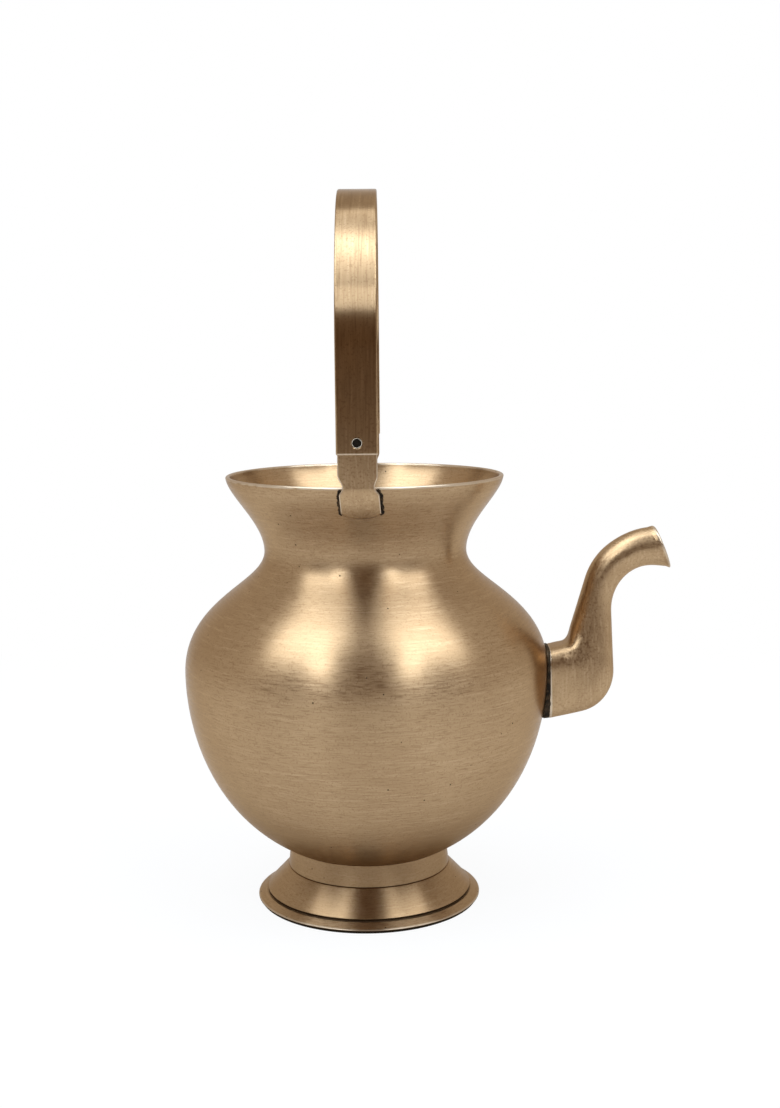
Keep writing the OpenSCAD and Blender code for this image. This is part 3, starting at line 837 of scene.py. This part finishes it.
def cast_bronze(scene):
    """Bronze as cast and filed."""
    finish = scene.pot_finish
    material, tree, shader = new_material("cast_bronze_finish")
    place = object_place(tree)
    grain = noise_at(tree, place, per_metre=1300.0)
    marks = straight_marks(tree, place, per_metre=(1300, 1300, 120))
    cloud = noise_at(tree, place, per_metre=90.0)
    tone = layered(
        tree, finish.bronze,
        (cloud, 0.35, 0.7, 0.4, finish.bronze_dark),
        (marks, 0.45, 0.75, 0.9, finish.bronze_pale),
        (grain, 0.55, 0.25, 0.8, finish.bronze_dark),
    )
    tone = worn_and_highlit_edges(tree, tone, finish)
    rough = gloss(tree, grain, finish.cast_rough - 0.05, finish.cast_rough + 0.07)
    height = math_node(tree, "ADD", grain, marks)
    dress(tree, shader, tone, rough, height, strength=0.16, depth=0.05 * MM)
    return material


def dark_solder(scene):
    """Dark uneven solder with a dull crust."""
    finish = scene.pot_finish
    material, tree, shader = new_material("dark_solder_finish")
    place = object_place(tree)
    crust = noise_at(tree, place, per_metre=700.0, detail=4.0)
    cloud = noise_at(tree, place, per_metre=240.0)
    tone = layered(
        tree, finish.solder,
        (cloud, 0.45, 0.65, 0.2, finish.bronze_dark),
        (crust, 0.5, 0.65, 0.25, finish.bronze_dark),
    )
    rough = gloss(tree, crust, smooth=0.45, dull=0.8)
    dress(tree, shader, tone, rough, crust, strength=0.5, depth=0.2 * MM)
    return material


def blackened_rivet(scene):
    """Blackened rivet with a bright ring where its end was spread, the ring partly a painted highlight
    on its edge.
    """
    finish = scene.pot_finish
    material, tree, shader = new_material("blackened_rivet_finish")
    place = object_place(tree)
    off = vector_node(tree, "SUBTRACT", place, (PIVOT.x, 0, PIVOT.z))
    radius = vector_node(tree, "LENGTH", vector_node(tree, "MULTIPLY", off, (1, 0, 1)), out=1)
    ring_r, end_y = scene.pot_bail.rivet_d / 2, RIVET_HIGH.y
    # The bright ring on the outer end is partly a painted highlight on the ring's edge
    ring = ranged(tree, radius, ring_r - 0.3 * MM, ring_r - 0.15 * MM)
    out = math_node(tree, "ABSOLUTE", add(tree, "ShaderNodeSeparateXYZ", {0: place}).outputs["Y"])
    outer_end = ranged(tree, out, end_y - 0.6 * MM, end_y - 0.3 * MM)
    tone = mixed(tree, math_node(tree, "MULTIPLY", ring, outer_end), finish.rivet, finish.rubbed_and_highlit)
    crust = noise_at(tree, place, per_metre=900.0)
    rough = gloss(tree, crust, smooth=0.45, dull=0.7)
    dress(tree, shader, tone, rough, crust, strength=0.3, depth=0.1 * MM)
    return material


FINISHES = {
    "turned_bronze": turned_bronze, "strap_bronze": strap_bronze, "cast_bronze": cast_bronze,
    "dark_solder": dark_solder, "blackened_rivet": blackened_rivet,
}


def finish_of(scene, slot):
    """The finish for a slot of the record, made when it is first asked for."""
    return bpy.data.materials.get(f"{slot}_finish") or FINISHES[slot](scene)


class POT_OT_bowl(Operator):
    """Turn the bowl and open it into the spout"""
    bl_idname = "pot.turn_bowl"
    bl_label = "Turn the bowl"

    def execute(self, context):
        scene = context.scene
        bowl, spout = scene.pot_bowl, scene.pot_spout
        curves = bowl_curves(bowl)
        low = bowl.rim_z - bowl.lip_round
        outer, inner = (
            [p for curve in curves for p in sampled(curve, off, BOWL_STEPS)[1:] if p.y < low]
            for off in (0, -bowl.wall)
        )
        lip = arc((bowl.rim_r - bowl.lip_round, low), bowl.lip_round, 0, UP)
        lip += arc((bowl.rim_r - bowl.wall + bowl.lip_round, low), bowl.lip_round, UP, math.pi)
        profile = [Vector((0, bowl.middle_z)), *outer, *lip, *reversed(inner)]
        profile.append(Vector((0, bowl.middle_z + bowl.wall)))
        metal = finish_of(scene, "turned_bronze")
        piece = turned("turned_bowl", profile, bowl.segments, metal)
        hole_r = bowl.hole_d / 2
        hole = [(0, bowl.seat_r), (hole_r, bowl.seat_r), (hole_r, spout.stub_x), (0, spout.stub_x)]
        cutter = turned("spout_hole_cutter", hole, HOLE_SIDES, metal)
        cutter.data.transform(Matrix.Translation((0, 0, spout.middle_z)) @ Matrix.Rotation(UP, 4, "Y"))
        drill(piece, cutter)
        # Painted shade: the bowl's colour darkens towards the foot
        mark(piece, "dirt_and_shade", lambda r, z, turn: BOWL_SHADE * (1 - (z - bowl.seat_z) / bowl.shade_h))
        # The rim's lip is rubbed bright, partly as a painted highlight
        mark(piece, "worn_and_highlit", lambda r, z, turn: 1.0 if z > low else 0.0)
        even_normals(piece)
        fit(scene, piece, "turned_bronze", "vessel", "vessel_body")
        return {"FINISHED"}


class POT_OT_foot(Operator):
    """Turn the skirt and the base ring, and braze them under the bowl"""
    bl_idname = "pot.turn_foot"
    bl_label = "Turn the foot"

    def execute(self, context):
        scene = context.scene
        self.skirt(scene)
        self.ring(scene)
        self.braze(scene)
        return {"FINISHED"}

    def skirt(self, scene):
        """The collar and the flared skirt, with a tool mark in the corner between them."""
        bowl, foot = scene.pot_bowl, scene.pot_foot
        bottom = bowl_curves(bowl)[0]
        groove_r = foot.base_r - foot.lip_w
        corner = Vector((foot.corner_r, foot.corner_h))
        edge = Vector((groove_r - foot.groove_h / 2, foot.seat_h + foot.groove_h))
        slope = (edge - corner).normalized()
        inside = corner + Vector((slope.y, -slope.x)) * foot.wall
        collar_in = bowl.seat_r - foot.wall
        seat = inside + slope * (foot.seat_h - inside.y) / slope.y
        bend = inside + slope * (collar_in - inside.x) / slope.x
        up = (Vector((bowl.seat_r, bowl.seat_z)) - corner).normalized()
        deep = corner + Vector((-1, 0)) * foot.crease
        top = [
            (r, height_at(bottom, r), 0)
            for r in (collar_in, (collar_in + bowl.seat_r) / 2, bowl.seat_r)
        ]
        corners = [
            *top,
            (*(corner + up * foot.crease), 0),
            (*deep, 0),
            (*(corner + slope * foot.crease), 0),
            (*edge, foot.edge_round),
            (edge.x - foot.groove_d, edge.y, 0),
            (edge.x - foot.groove_d, foot.seat_h, 0),
            (*seat, 0),
            (*bend, 0),
        ]
        outline = rounded(corners)
        metal = finish_of(scene, "turned_bronze")
        piece = turned("turned_skirt", list(reversed(outline)), bowl.segments, metal)
        # Painted shade over the skirt, with dirt and painted shade in the groove and painted shade in
        # the crease
        mark(piece, "dirt_and_shade", lambda r, z, turn: self.darkening(foot, deep, edge, r, z, turn))
        even_normals(piece, sharp=25)
        fit(scene, piece, "turned_bronze", "vessel", "foot_skirt")

    def darkening(self, foot, deep, edge, r, z, turn):
        """Dirt and painted shade in the groove above the seat, painted shade in the crease, at its
        darkest over the front of the turn, and lighter painted shade over the rest of the skirt.
        """
        if r > foot.corner_r and z < edge.y + foot.crease and r < edge.x - foot.groove_d / 2:
            return GROOVE_DIRT_AND_SHADE
        if abs(z - deep.y) < foot.crease and abs(r - deep.x) < foot.crease / 2:
            return DARKEST if abs(turn) < CREASE_REACH else CREASE_SHADE
        return SKIRT_SHADE

    def ring(self, scene):
        """The base ring, whose rolled edge is drawn by shares of its height, undercut and lip."""
        foot = scene.pot_foot
        groove_r = foot.base_r - foot.lip_w
        ring_in = groove_r - foot.seat_w
        slope_h = foot.seat_h - foot.edge_h
        outline = rounded([
            (ring_in, 0, foot.edge_round),
            (foot.base_r - foot.undercut, 0, foot.edge_round / 2),
            (foot.base_r - foot.undercut * 0.3, foot.edge_h * 0.55, 0),
            (foot.base_r, foot.edge_h * 0.75, foot.edge_round / 2),
            (foot.base_r, foot.edge_h, foot.edge_round),
            (foot.base_r - foot.lip_w * 0.2, foot.edge_h + slope_h * 0.2, 0),
            (groove_r, foot.seat_h, foot.edge_round),
            (ring_in, foot.seat_h, foot.edge_round),
        ])
        metal = finish_of(scene, "turned_bronze")
        piece = turned("turned_base_ring", outline, scene.pot_bowl.segments, metal)
        edge_r, edge_z = foot.base_r - foot.lip_w * 0.15, foot.edge_h * 0.85
        # Painted shade: the ring's lower edge at its darkest, the rest of the ring a little darker
        mark(piece, "dirt_and_shade", lambda r, z, turn: DARKEST if z < edge_z else RING_SHADE)
        # The ring's upper outer edge is rubbed bright, partly as a painted highlight
        mark(piece, "worn_and_highlit", lambda r, z, turn: 1.0 if z > edge_z and r > edge_r else 0.0)
        even_normals(piece)
        fit(scene, piece, "turned_bronze", "vessel", "base_ring")

    def braze(self, scene):
        """The fillet between the bowl and the inside of the collar."""
        bowl, foot = scene.pot_bowl, scene.pot_foot
        bottom = bowl_curves(bowl)[0]
        outside = bowl.seat_r - foot.wall
        steps = 5
        reach = [outside - foot.fillet * i / steps for i in range(steps + 1)]
        under = [(r, height_at(bottom, r) - (r - reach[-1]) ** 2 / foot.fillet) for r in reversed(reach)]
        outline = [*under, *[(r, height_at(bottom, r)) for r in reach], under[0]]
        piece = turned("foot_braze", outline, BRAZE_SIDES, finish_of(scene, "dark_solder"))
        fit(scene, piece, "dark_solder", "vessel", "foot_braze_ring")


class POT_OT_spout(Operator):
    """Loft the spout and lay its solder"""
    bl_idname = "pot.cast_spout"
    bl_label = "Cast the spout"

    def execute(self, context):
        scene = context.scene
        upper, lower = self.rails(scene.pot_spout)
        self.shell(scene, upper, lower)
        self.solder(scene)
        return {"FINISHED"}

    def rails(self, spout):
        """The spout's back and underside seen from the side, as places with the heading there."""
        half = spout.stub_h / 2
        rise = math.tan(spout.stub_slope)
        start = Vector((-spout.stub_reach, -spout.stub_reach * rise))
        stub_top = Vector((spout.stub_top_run, half + spout.stub_top_run * rise))
        back_low = Vector((spout.elbow_run - spout.riser_foot_t, stub_top.y + spout.fillet_rise))
        back_high = Vector((
            spout.elbow_run - spout.riser_lean - spout.riser_top_t,
            spout.riser_rise + spout.riser_back_rise,
        ))
        lip_top = Vector((spout.tip_run - spout.lip_len * math.sin(spout.lip_tilt), spout.tip_rise))
        back_bend = lip_top - Vector((spout.crook_back_run, spout.crook_back_drop))
        low_run = spout.elbow_run - spout.elbow_round_run
        under_low = Vector((low_run, low_run * rise - half))
        under_mid = Vector((spout.elbow_run, under_low.y + spout.elbow_round_rise))
        under_high = Vector((spout.elbow_run - spout.riser_lean, spout.riser_rise))
        lip_low = Vector((spout.tip_run, spout.tip_rise - spout.lip_len * math.cos(spout.lip_tilt)))
        under_bend = lip_low - Vector((spout.crook_under_run, 0))
        back = math.atan2(*reversed(back_high - back_low))
        under = math.atan2(*reversed(under_high - under_mid))
        top_end = spout.lip_flare - spout.tip_dip
        upper = [
            (start + Vector((0, half)), spout.stub_slope),
            (stub_top, spout.stub_slope),
            (back_low, back),
            (back_high, back),
            (back_bend, (back + top_end) / 2),
            (lip_top, top_end),
        ]
        lower = [
            (start - Vector((0, half)), spout.stub_slope),
            (under_low, spout.stub_slope),
            (under_mid, under),
            (under_high, under),
            (under_bend, spout.crook_under_slope),
            (lip_low, -spout.lip_flare - spout.tip_dip),
        ]
        return upper, lower

    def rail(self, stations, s):
        """Place on a rail, where whole numbers are its stations."""
        k = min(int(s), len(stations) - 2)
        (a, ha), (b, hb) = stations[k], stations[k + 1]
        turn = hb - ha
        pull = 1 / 3
        if abs(turn) >= STRAIGHT_TURN:
            pull = 2 / 3 * math.tan(turn / 4) / math.sin(turn / 2)
        return along(limb(a, ha, b, hb, pull, pull), s - k)

    def eased(self, values, s):
        """Value between listed ones, with smooth joins."""
        last = len(values) - 1
        k = min(int(s), last - 1)
        t = s - k
        a, b = values[k], values[k + 1]
        da = (b - values[max(k - 1, 0)]) / 2
        db = (values[min(k + 2, last)] - a) / 2
        u = 1 - t
        return a * (1 + 2 * t) * u * u + da * t * u * u + b * t * t * (3 - 2 * t) - db * t * t * u

    def section(self, power):
        """Rounded box section as shares across and up."""
        turns = [math.tau * (i + 0.5) / SPOUT_SIDES for i in range(SPOUT_SIDES)]
        return [(self.blunted(math.cos(a), power), self.blunted(math.sin(a), power)) for a in turns]

    def blunted(self, part, power):
        """Sine or cosine pushed out towards the side of a box."""
        return math.copysign(abs(part) ** (2 / power), part)

    def ring(self, spout, upper, lower, s, inset):
        """Points round the spout at place s, drawn in from its outside."""
        between = (spout.stub_w + spout.riser_w) / 2
        widths = [spout.stub_w, spout.stub_w, between, spout.riser_w, spout.riser_w, spout.lip_w]
        top, low = self.rail(upper, s), self.rail(lower, s)
        middle, half = (top + low) / 2, (top - low) / 2
        tall = half * (1 - inset / half.length)
        wide = self.eased(widths, s) / 2 - inset
        x, z = spout.stub_x + middle.x, spout.middle_z + middle.y
        return [
            (x + tall.x * up, wide * across, z + tall.y * up)
            for across, up in self.section(self.eased(SPOUT_POWERS, s))
        ]

    def shell(self, scene, upper, lower):
        """The hollow spout, as rings of (place, inset, rubbed edge that is partly a painted highlight)
        that run out to the lip and back inside.
        """
        spout = scene.pot_spout
        spans = len(upper) - 1
        stops = [i / SPOUT_STEPS for i in range(spans * SPOUT_STEPS)]
        near = spout.lip_edge / spout.stub_top_run
        near_tip = spans - spout.lip_edge / spout.crook_under_run
        turn_start = spans - spout.lip_turn_len / spout.crook_under_run
        runs = [(0, spout.lip_edge / 4, 1), (near, 0, 1)]
        runs += [(s, 0, 0) for s in stops if near < s < turn_start]
        runs += [(turn_start, 0, 0), ((turn_start + near_tip) / 2, -spout.lip_turn / 2, 0)]
        runs += [(near_tip, -spout.lip_turn, 1), (spans, spout.lip_edge - spout.lip_turn, 1)]
        runs += [(spans, spout.wall - spout.lip_edge, 1)]
        runs += [(s, spout.wall, 0) for s in reversed([*stops, near_tip])]
        points = [p for s, inset, _ in runs for p in self.ring(spout, upper, lower, s, inset)]
        piece = new_object("cast_spout", points, faces=loop_faces(len(runs), SPOUT_SIDES))
        # The spout's two ends are rubbed bright, partly as a painted highlight
        worn_and_highlit = piece.data.attributes.new("worn_and_highlit", "FLOAT", "POINT")
        worn_and_highlit.data.foreach_set("value", [wear_and_highlight for *_, wear_and_highlight in runs for _ in range(SPOUT_SIDES)])
        even_normals(piece, sharp=50)
        fit(scene, piece, "cast_bronze", "vessel", "spout")

    def solder(self, scene):
        """Ring of solder that fills the wedge between the belly and the stub."""
        bowl, spout = scene.pot_bowl, scene.pot_spout
        curves = bowl_curves(bowl)
        steps = 7
        swell = [math.sin(math.pi * k / steps) ** 0.5 for k in range(steps)]
        runs = [(k / steps, spout.solder_bead * swell[k]) for k in range(steps)]
        runs += [(1, -spout.solder_lap), (1, -spout.wall), (0, -spout.wall)]
        section = self.section(SPOUT_POWERS[0])
        points = [self.wedge(curves, spout, p, s, grow) for s, grow in runs for p in section]
        piece = new_object("spout_solder", points, faces=loop_faces(len(runs), SPOUT_SIDES))
        run_tree(piece, lumpy_tree(), finish_of(scene, "dark_solder"), {
            "Height": spout.solder_rough, "Grain": SOLDER_GRAIN})
        fit(scene, piece, "dark_solder", "vessel", "spout_solder_seam")

    def wedge(self, curves, spout, p, s, grow):
        """Point between the belly, at s 0, and the stub's end, at s 1."""
        y = (spout.stub_w / 2 + grow) * p[0]
        z = spout.middle_z + (spout.stub_h / 2 + grow) * p[1]
        inside = math.sqrt(radius_at(curves, z) ** 2 - y * y)
        end = spout.stub_x - spout.stub_reach + spout.solder_lap
        return inside + (end - inside) * s, y, z


class POT_OT_ears(Operator):
    """Cut, bend and braze the two ears"""
    bl_idname = "pot.fit_ears"
    bl_label = "Fit the ears"

    def execute(self, context):
        scene = context.scene
        for name, side in (("front", -1), ("rear", 1)):
            self.plate(scene, name, side)
            self.bead(scene, name, side)
        return {"FINISHED"}

    def half_outline(self, bowl, ears):
        """Right half of the ear from its crown to its tip, as (out from the middle, height)."""
        rim = bowl.rim_z
        shoulder = (ears.width / 2, rim + ears.waist_rise)
        waist = (ears.waist_w / 2, rim)
        bulb = (ears.bulb_w / 2, rim - ears.bulb_drop)
        corner = (ears.bulb_w / 2, rim - ears.corner_drop)
        tip = (0, rim - ears.corner_drop - ears.bow)
        pulls = (EVEN_PULL, EVEN_PULL)
        lean = 2 * math.atan2(ears.bow, ears.bulb_w / 2)
        points = arc((0, PIVOT.z), ears.width / 2, UP, 0, steps=12)
        points += sampled(limb(shoulder, -UP, waist, -UP, *pulls), 0, steps=10)
        points += sampled(limb(waist, -UP, bulb, -UP, *pulls), 0, steps=8)[1:]
        points += sampled(limb(corner, lean - 2 * UP, tip, -2 * UP, *pulls), 0, steps=12)
        return points

    def stepped(self, bowl, ears, x, z):
        """Sideways place of a point of the ear, whose lower part steps over to the bulb."""
        drop = (bowl.rim_z + ears.waist_rise - z) / (ears.waist_rise + ears.corner_drop)
        return PIVOT.x + x + ears.step * min(max(drop, 0), 1)

    def plate(self, scene, name, side):
        """An ear cut flat, bevelled, and then bent to the mouth and bored for its rivet."""
        bowl, ears, bail = scene.pot_bowl, scene.pot_ears, scene.pot_bail
        curves = bowl_curves(bowl)
        half = self.half_outline(bowl, ears)
        outline = half + [Vector((-p.x, p.y)) for p in reversed(half[1:-1])]
        piece = new_object(f"{name}_ear_plate", [])
        with opened(piece) as made:
            corners = [made.verts.new((self.stepped(bowl, ears, *p), 0, p.y)) for p in outline]
            face = made.faces.new(corners)
            back = bmesh.ops.extrude_face_region(made, geom=[face])["geom"]
            moved = [v for v in back if isinstance(v, bmesh.types.BMVert)]
            bmesh.ops.translate(made, verts=moved, vec=(0, ears.thick, 0))
            bevel(made, [f for f in made.faces if len(f.verts) == len(outline)], ears.bevel)
            low, high = bowl.rim_z - ears.corner_drop - ears.bow, bowl.rim_z + ears.waist_rise
            for i in range(1, EAR_CUTS):
                level = low + (high - low) * i / EAR_CUTS
                whole = [*made.verts, *made.edges, *made.faces]
                bmesh.ops.bisect_plane(made, geom=whole, plane_co=(0, 0, level), plane_no=(0, 0, 1))
            # The ear's face bevel is rubbed bright, partly as a painted highlight
            worn_and_highlit = made.verts.layers.float.new("worn_and_highlit")
            for vertex in made.verts:
                y, z = vertex.co.yz
                vertex[worn_and_highlit] = 1.0 if SLACK < y < ears.bevel + SLACK else 0.0
                inner = radius_at(curves, z, ears.film)
                outer = radius_at(curves, z, ears.film + ears.thick)
                vertex.co.y = side * (inner + (outer - inner) * (1 - y / ears.thick))
            bmesh.ops.recalc_face_normals(made, faces=made.faces)
        metal = finish_of(scene, "cast_bronze")
        drill(piece, rivet_cutter(bowl.rim_r, side, bail.rivet_d / 2, 0, metal))
        even_normals(piece)
        fit(scene, piece, "cast_bronze", "vessel", f"{name}_ear")

    def bead(self, scene, name, side):
        """Dark braze that ran out on both sides of the bulb; the bead partly stands for the shade there,
        as a painted shadow.
        """
        bowl, ears = scene.pot_bowl, scene.pot_ears
        curves = bowl_curves(bowl)
        steps = 24
        top, low = bowl.rim_z - ears.bead_start, bowl.rim_z - ears.corner_drop - ears.bead_past
        half = [p for p in self.half_outline(bowl, ears) if p.y <= bowl.rim_z + MM]
        points, edges = [], []
        for hand in (-1, 1):
            for i in range(steps + 1):
                z = top + (low - top) * i / steps
                out = next(b.x for b in half[1:] if b.y <= z)
                x = self.stepped(bowl, ears, hand * (out + ears.bead_out), z)
                r = radius_at(curves, z)
                if i:
                    edges.append((len(points) - 1, len(points)))
                points.append((x, side * math.sqrt(r * r - x * x), z))
        piece = new_object(f"{name}_braze_and_shade_bead", points, edges)
        tree = bpy.data.node_groups.get("Bead along a path") or bead_tree()
        run_tree(piece, tree, finish_of(scene, "dark_solder"), {
            "Radius": ears.bead_r, "Height": ears.bead_rough, "Grain": BRAZE_GRAIN})
        fit(scene, piece, "dark_solder", "vessel", f"{name}_ear_braze")


class POT_OT_bail(Operator):
    """Bend the bail's strap and bore it for its rivets"""
    bl_idname = "pot.bend_bail"
    bl_label = "Bend the bail"

    def execute(self, context):
        scene = context.scene
        bail = scene.pot_bail
        middle = BAIL_HIGH.y - bail.strap_t / 2
        arch_z, foot_z = BAIL_HIGH.z - BAIL_HIGH.y, BAIL_LOW.z
        arm_steps, arch_steps = 12, 120
        arm = [foot_z + (arch_z - foot_z) * i / arm_steps for i in range(arm_steps)]
        # A row of points just above the cut end, so that its bevel stays short
        arm.insert(1, foot_z + 2.5 * bail.end_round)
        path = [(-middle, z) for z in arm]
        path += arc((0, arch_z), middle, math.pi, 0, arch_steps)
        path += [(middle, z) for z in reversed(arm)]
        points = [(PIVOT.x, y, z) for y, z in path]
        edges = [(i, i + 1) for i in range(len(points) - 1)]
        metal = finish_of(scene, "strap_bronze")
        piece = new_object("bail_strap", points, edges)
        run_tree(piece, strap_tree(), metal, {
            "Width": BAIL_HIGH.x - BAIL_LOW.x,
            "Thickness": bail.strap_t,
            "Edge radius": bail.strap_round,
        })
        self.soften_ends(piece, bail.end_round)
        start = BAIL_HIGH.y - 2 * bail.strap_t
        radius = bail.rivet_d / 2 + bail.rivet_play
        for side in (-1, 1):
            drill(piece, rivet_cutter(start, side, radius, bail.sink, metal))
        even_normals(piece)
        fit(scene, piece, "strap_bronze", "bail", "bail_handle")
        return {"FINISHED"}

    def soften_ends(self, piece, size):
        """Bevel the strap's two cut ends, which are rubbed bright, partly as a painted edge highlight.
        """
        with opened(piece) as made:
            bevel(made, [f for f in made.faces if len(f.verts) > 4], size)
            bmesh.ops.recalc_face_normals(made, faces=made.faces)
            bright_z = min(v.co.z for v in made.verts) + size * 1.1
            worn_and_highlit = made.verts.layers.float.new("worn_and_highlit")
            for vertex in made.verts:
                vertex[worn_and_highlit] = 1.0 if vertex.co.z < bright_z else 0.0


class POT_OT_rivets(Operator):
    """Set a rivet through each ear"""
    bl_idname = "pot.set_rivets"
    bl_label = "Set the rivets"

    def execute(self, context):
        scene = context.scene
        bowl, ears, bail = scene.pot_bowl, scene.pot_ears, scene.pot_bail
        ear_inner = bowl.rim_r + ears.film
        end = RIVET_HIGH.y - ear_inner
        r, edge = bail.rivet_d / 2, bail.rivet_edge
        ring_in, dish_z = r - bail.rivet_ring, end - bail.rivet_dish
        steps = 10
        turns = [UP * i / steps for i in range(steps + 1)]
        dome = [(bail.head_d / 2 * math.sin(a), -bail.head_h * math.cos(a)) for a in turns]
        tail = rounded([
            (r, 0, 0),
            (r, end, edge),
            (ring_in, end, edge * 0.8),
            (ring_in - edge, dish_z, edge),
            (0, dish_z - edge / 2, 0),
        ], closed=False)
        metal = finish_of(scene, "blackened_rivet")
        piece = turned("ear_rivets", [*dome, *tail], RIVET_SIDES, metal)
        run_tree(piece, rivet_tree(), metal, {"Hinge": PIVOT, "Reach": ear_inner})
        even_normals(piece)
        fit(scene, piece, "blackened_rivet", "vessel", "front_rivet", "rear_rivet")
        return {"FINISHED"}


class POT_OT_stage(Operator):
    """Set the camera, the softboxes and the pale floor"""
    bl_idname = "pot.set_stage"
    bl_label = "Set the stage"

    def execute(self, context):
        scene = context.scene
        scene.view_settings.view_transform = "Standard"
        self.camera(scene)
        self.floor(scene)
        self.world(scene)
        stage = scene.pot_stage
        box = (stage.box_wide, stage.box_tall)
        fill = (stage.fill_wide, stage.fill_tall)
        top = (stage.top_wide, stage.top_long)
        for hand, side in (("left", -1), ("right", 1)):
            aside = Vector((side, 1, 1))
            box_place, fill_place = Vector(stage.box_place) * aside, Vector(stage.fill_place) * aside
            box_turn = -side * stage.box_turn
            self.lamp(scene, f"{hand}_softbox", box_place, box, stage.box_power, box_turn)
            self.lamp(scene, f"{hand}_fill", fill_place, fill, stage.fill_power)
        self.lamp(scene, "top_softbox", Vector(stage.top_place), top, stage.top_power)
        return {"FINISHED"}

    def camera(self, scene):
        """The camera at the photograph's place, focal length and tilt."""
        stage = scene.pot_stage
        data = bpy.data.cameras.new("camera")
        data.sensor_width = 36
        data.lens = stage.focal / IMAGE_LONG_SIDE * data.sensor_width
        data.clip_start = 0.01
        eye = bpy.data.objects.new("camera", data)
        look = Matrix.Rotation(UP - stage.pitch, 4, "X") @ Matrix.Rotation(stage.roll, 4, "Z")
        eye.matrix_world = Matrix.Translation(stage.camera) @ look
        scene.collection.objects.link(eye)
        scene.camera = eye

    def floor(self, scene):
        """A pale floor that looks white to the camera and to the metal, and keeps the pot's shadow."""
        stage = scene.pot_stage
        side, near, far = stage.floor_side, -stage.floor_near, stage.floor_far
        corners = [(-side, near, 0), (side, near, 0), (side, far, 0), (-side, far, 0)]
        piece = new_object("pale_floor", corners, faces=[(0, 1, 2, 3)])
        material = bpy.data.materials.new("pale_floor")
        tree = emptied(material)
        paint = add(tree, "ShaderNodeBsdfDiffuse", {"Color": (*scene.pot_finish.floor, 1)})
        white = add(tree, "ShaderNodeEmission", {"Strength": 1.0})
        path = add(tree, "ShaderNodeLightPath").outputs
        mirrored = math_node(tree, "MAXIMUM", path["Is Glossy Ray"], path["Is Transmission Ray"])
        off = vector_node(tree, "LENGTH", object_place(tree), out=1)
        reach = stage.shadow_reach
        whiteness = ranged(tree, off, reach / 2, reach, stage.floor_white, 1.0)
        seen = math_node(tree, "MULTIPLY", path["Is Camera Ray"], whiteness)
        seen = math_node(tree, "MULTIPLY_ADD", mirrored, stage.floor_mirrored, seen)
        both = add(tree, "ShaderNodeMixShader", {0: seen, 1: paint.outputs[0], 2: white.outputs[0]})
        add(tree, "ShaderNodeOutputMaterial", {"Surface": both.outputs[0]})
        piece.data.materials.append(material)

    def world(self, scene):
        """A room pale beside and behind the pot, dark in front and above, and white to the camera."""
        stage = scene.pot_stage
        world = bpy.data.worlds.new("studio")
        tree = emptied(world)
        way = add(tree, "ShaderNodeTexCoord").outputs["Generated"]
        parts = add(tree, "ShaderNodeSeparateXYZ", {0: way}).outputs
        aside = ranged(tree, math_node(tree, "ABSOLUTE", parts["X"]), *SIDE_SPAN)
        wall = math_node(tree, "MULTIPLY", aside, ranged(tree, parts["Y"], *FRONT_SPAN))
        pale = math_node(tree, "MAXIMUM", wall, ranged(tree, parts["Y"], *BACK_SPAN))
        room = mixed(tree, pale, stage.room_dark, stage.room_pale)
        seen = add(tree, "ShaderNodeLightPath").outputs["Is Camera Ray"]
        glow = add(tree, "ShaderNodeBackground", {"Color": mixed(tree, seen, room, WHITE)})
        add(tree, "ShaderNodeOutputWorld", {"Surface": glow.outputs[0]})
        scene.world = world

    def lamp(self, scene, name, place, size, power, turn=0.0):
        """Soft lamp aimed at the pot and turned about its aim."""
        stage = scene.pot_stage
        data = bpy.data.lights.new(name, "AREA")
        data.shape = "RECTANGLE"
        data.size, data.size_y = size
        data.energy = power
        data.color = stage.lamp_colour
        lamp = bpy.data.objects.new(name, data)
        aim = (Vector(stage.lamp_aim) - place).to_track_quat("-Z", "Y")
        look = aim.to_matrix().to_4x4() @ Matrix.Rotation(turn, 4, "Z")
        lamp.matrix_world = Matrix.Translation(place) @ look
        lamp.visible_camera = False
        scene.collection.objects.link(lamp)


SETTINGS = {
    "pot_bowl": PotBowl, "pot_foot": PotFoot, "pot_spout": PotSpout, "pot_ears": PotEars,
    "pot_bail": PotBail, "pot_finish": PotFinish, "pot_stage": PotStage,
}
OPERATORS = [
    POT_OT_bowl, POT_OT_foot, POT_OT_spout, POT_OT_ears, POT_OT_bail, POT_OT_rivets, POT_OT_stage,
]


class POT_PT_panel(Panel):
    """Lists the pot's pieces and their sizes"""
    bl_label = "Spouted pot"
    bl_idname = "POT_PT_panel"
    bl_space_type = "VIEW_3D"
    bl_region_type = "UI"
    bl_category = "Pot"

    def draw(self, context):
        for operator in OPERATORS:
            self.layout.operator(operator.bl_idname)
        for name in SETTINGS:
            group = getattr(context.scene, name)
            box = self.layout.box()
            box.label(text=group.bl_rna.description)
            for key in group.__annotations__:
                box.prop(group, key)


CLASSES = [*SETTINGS.values(), *OPERATORS, POT_PT_panel]


def register():
    """Register the classes and give the scene its settings."""
    for item in CLASSES:
        bpy.utils.register_class(item)
    for name, group in SETTINGS.items():
        setattr(bpy.types.Scene, name, PointerProperty(type=group))


def unregister():
    """Take the settings and the classes away again."""
    for name in SETTINGS:
        delattr(bpy.types.Scene, name)
    for item in reversed(CLASSES):
        bpy.utils.unregister_class(item)


def main():
    """Build every piece and the stage."""
    register()
    bpy.ops.pot.turn_bowl()
    bpy.ops.pot.turn_foot()
    bpy.ops.pot.cast_spout()
    bpy.ops.pot.fit_ears()
    bpy.ops.pot.bend_bail()
    bpy.ops.pot.set_rivets()
    bpy.ops.pot.set_stage()


if __name__ == "__main__":
    main()
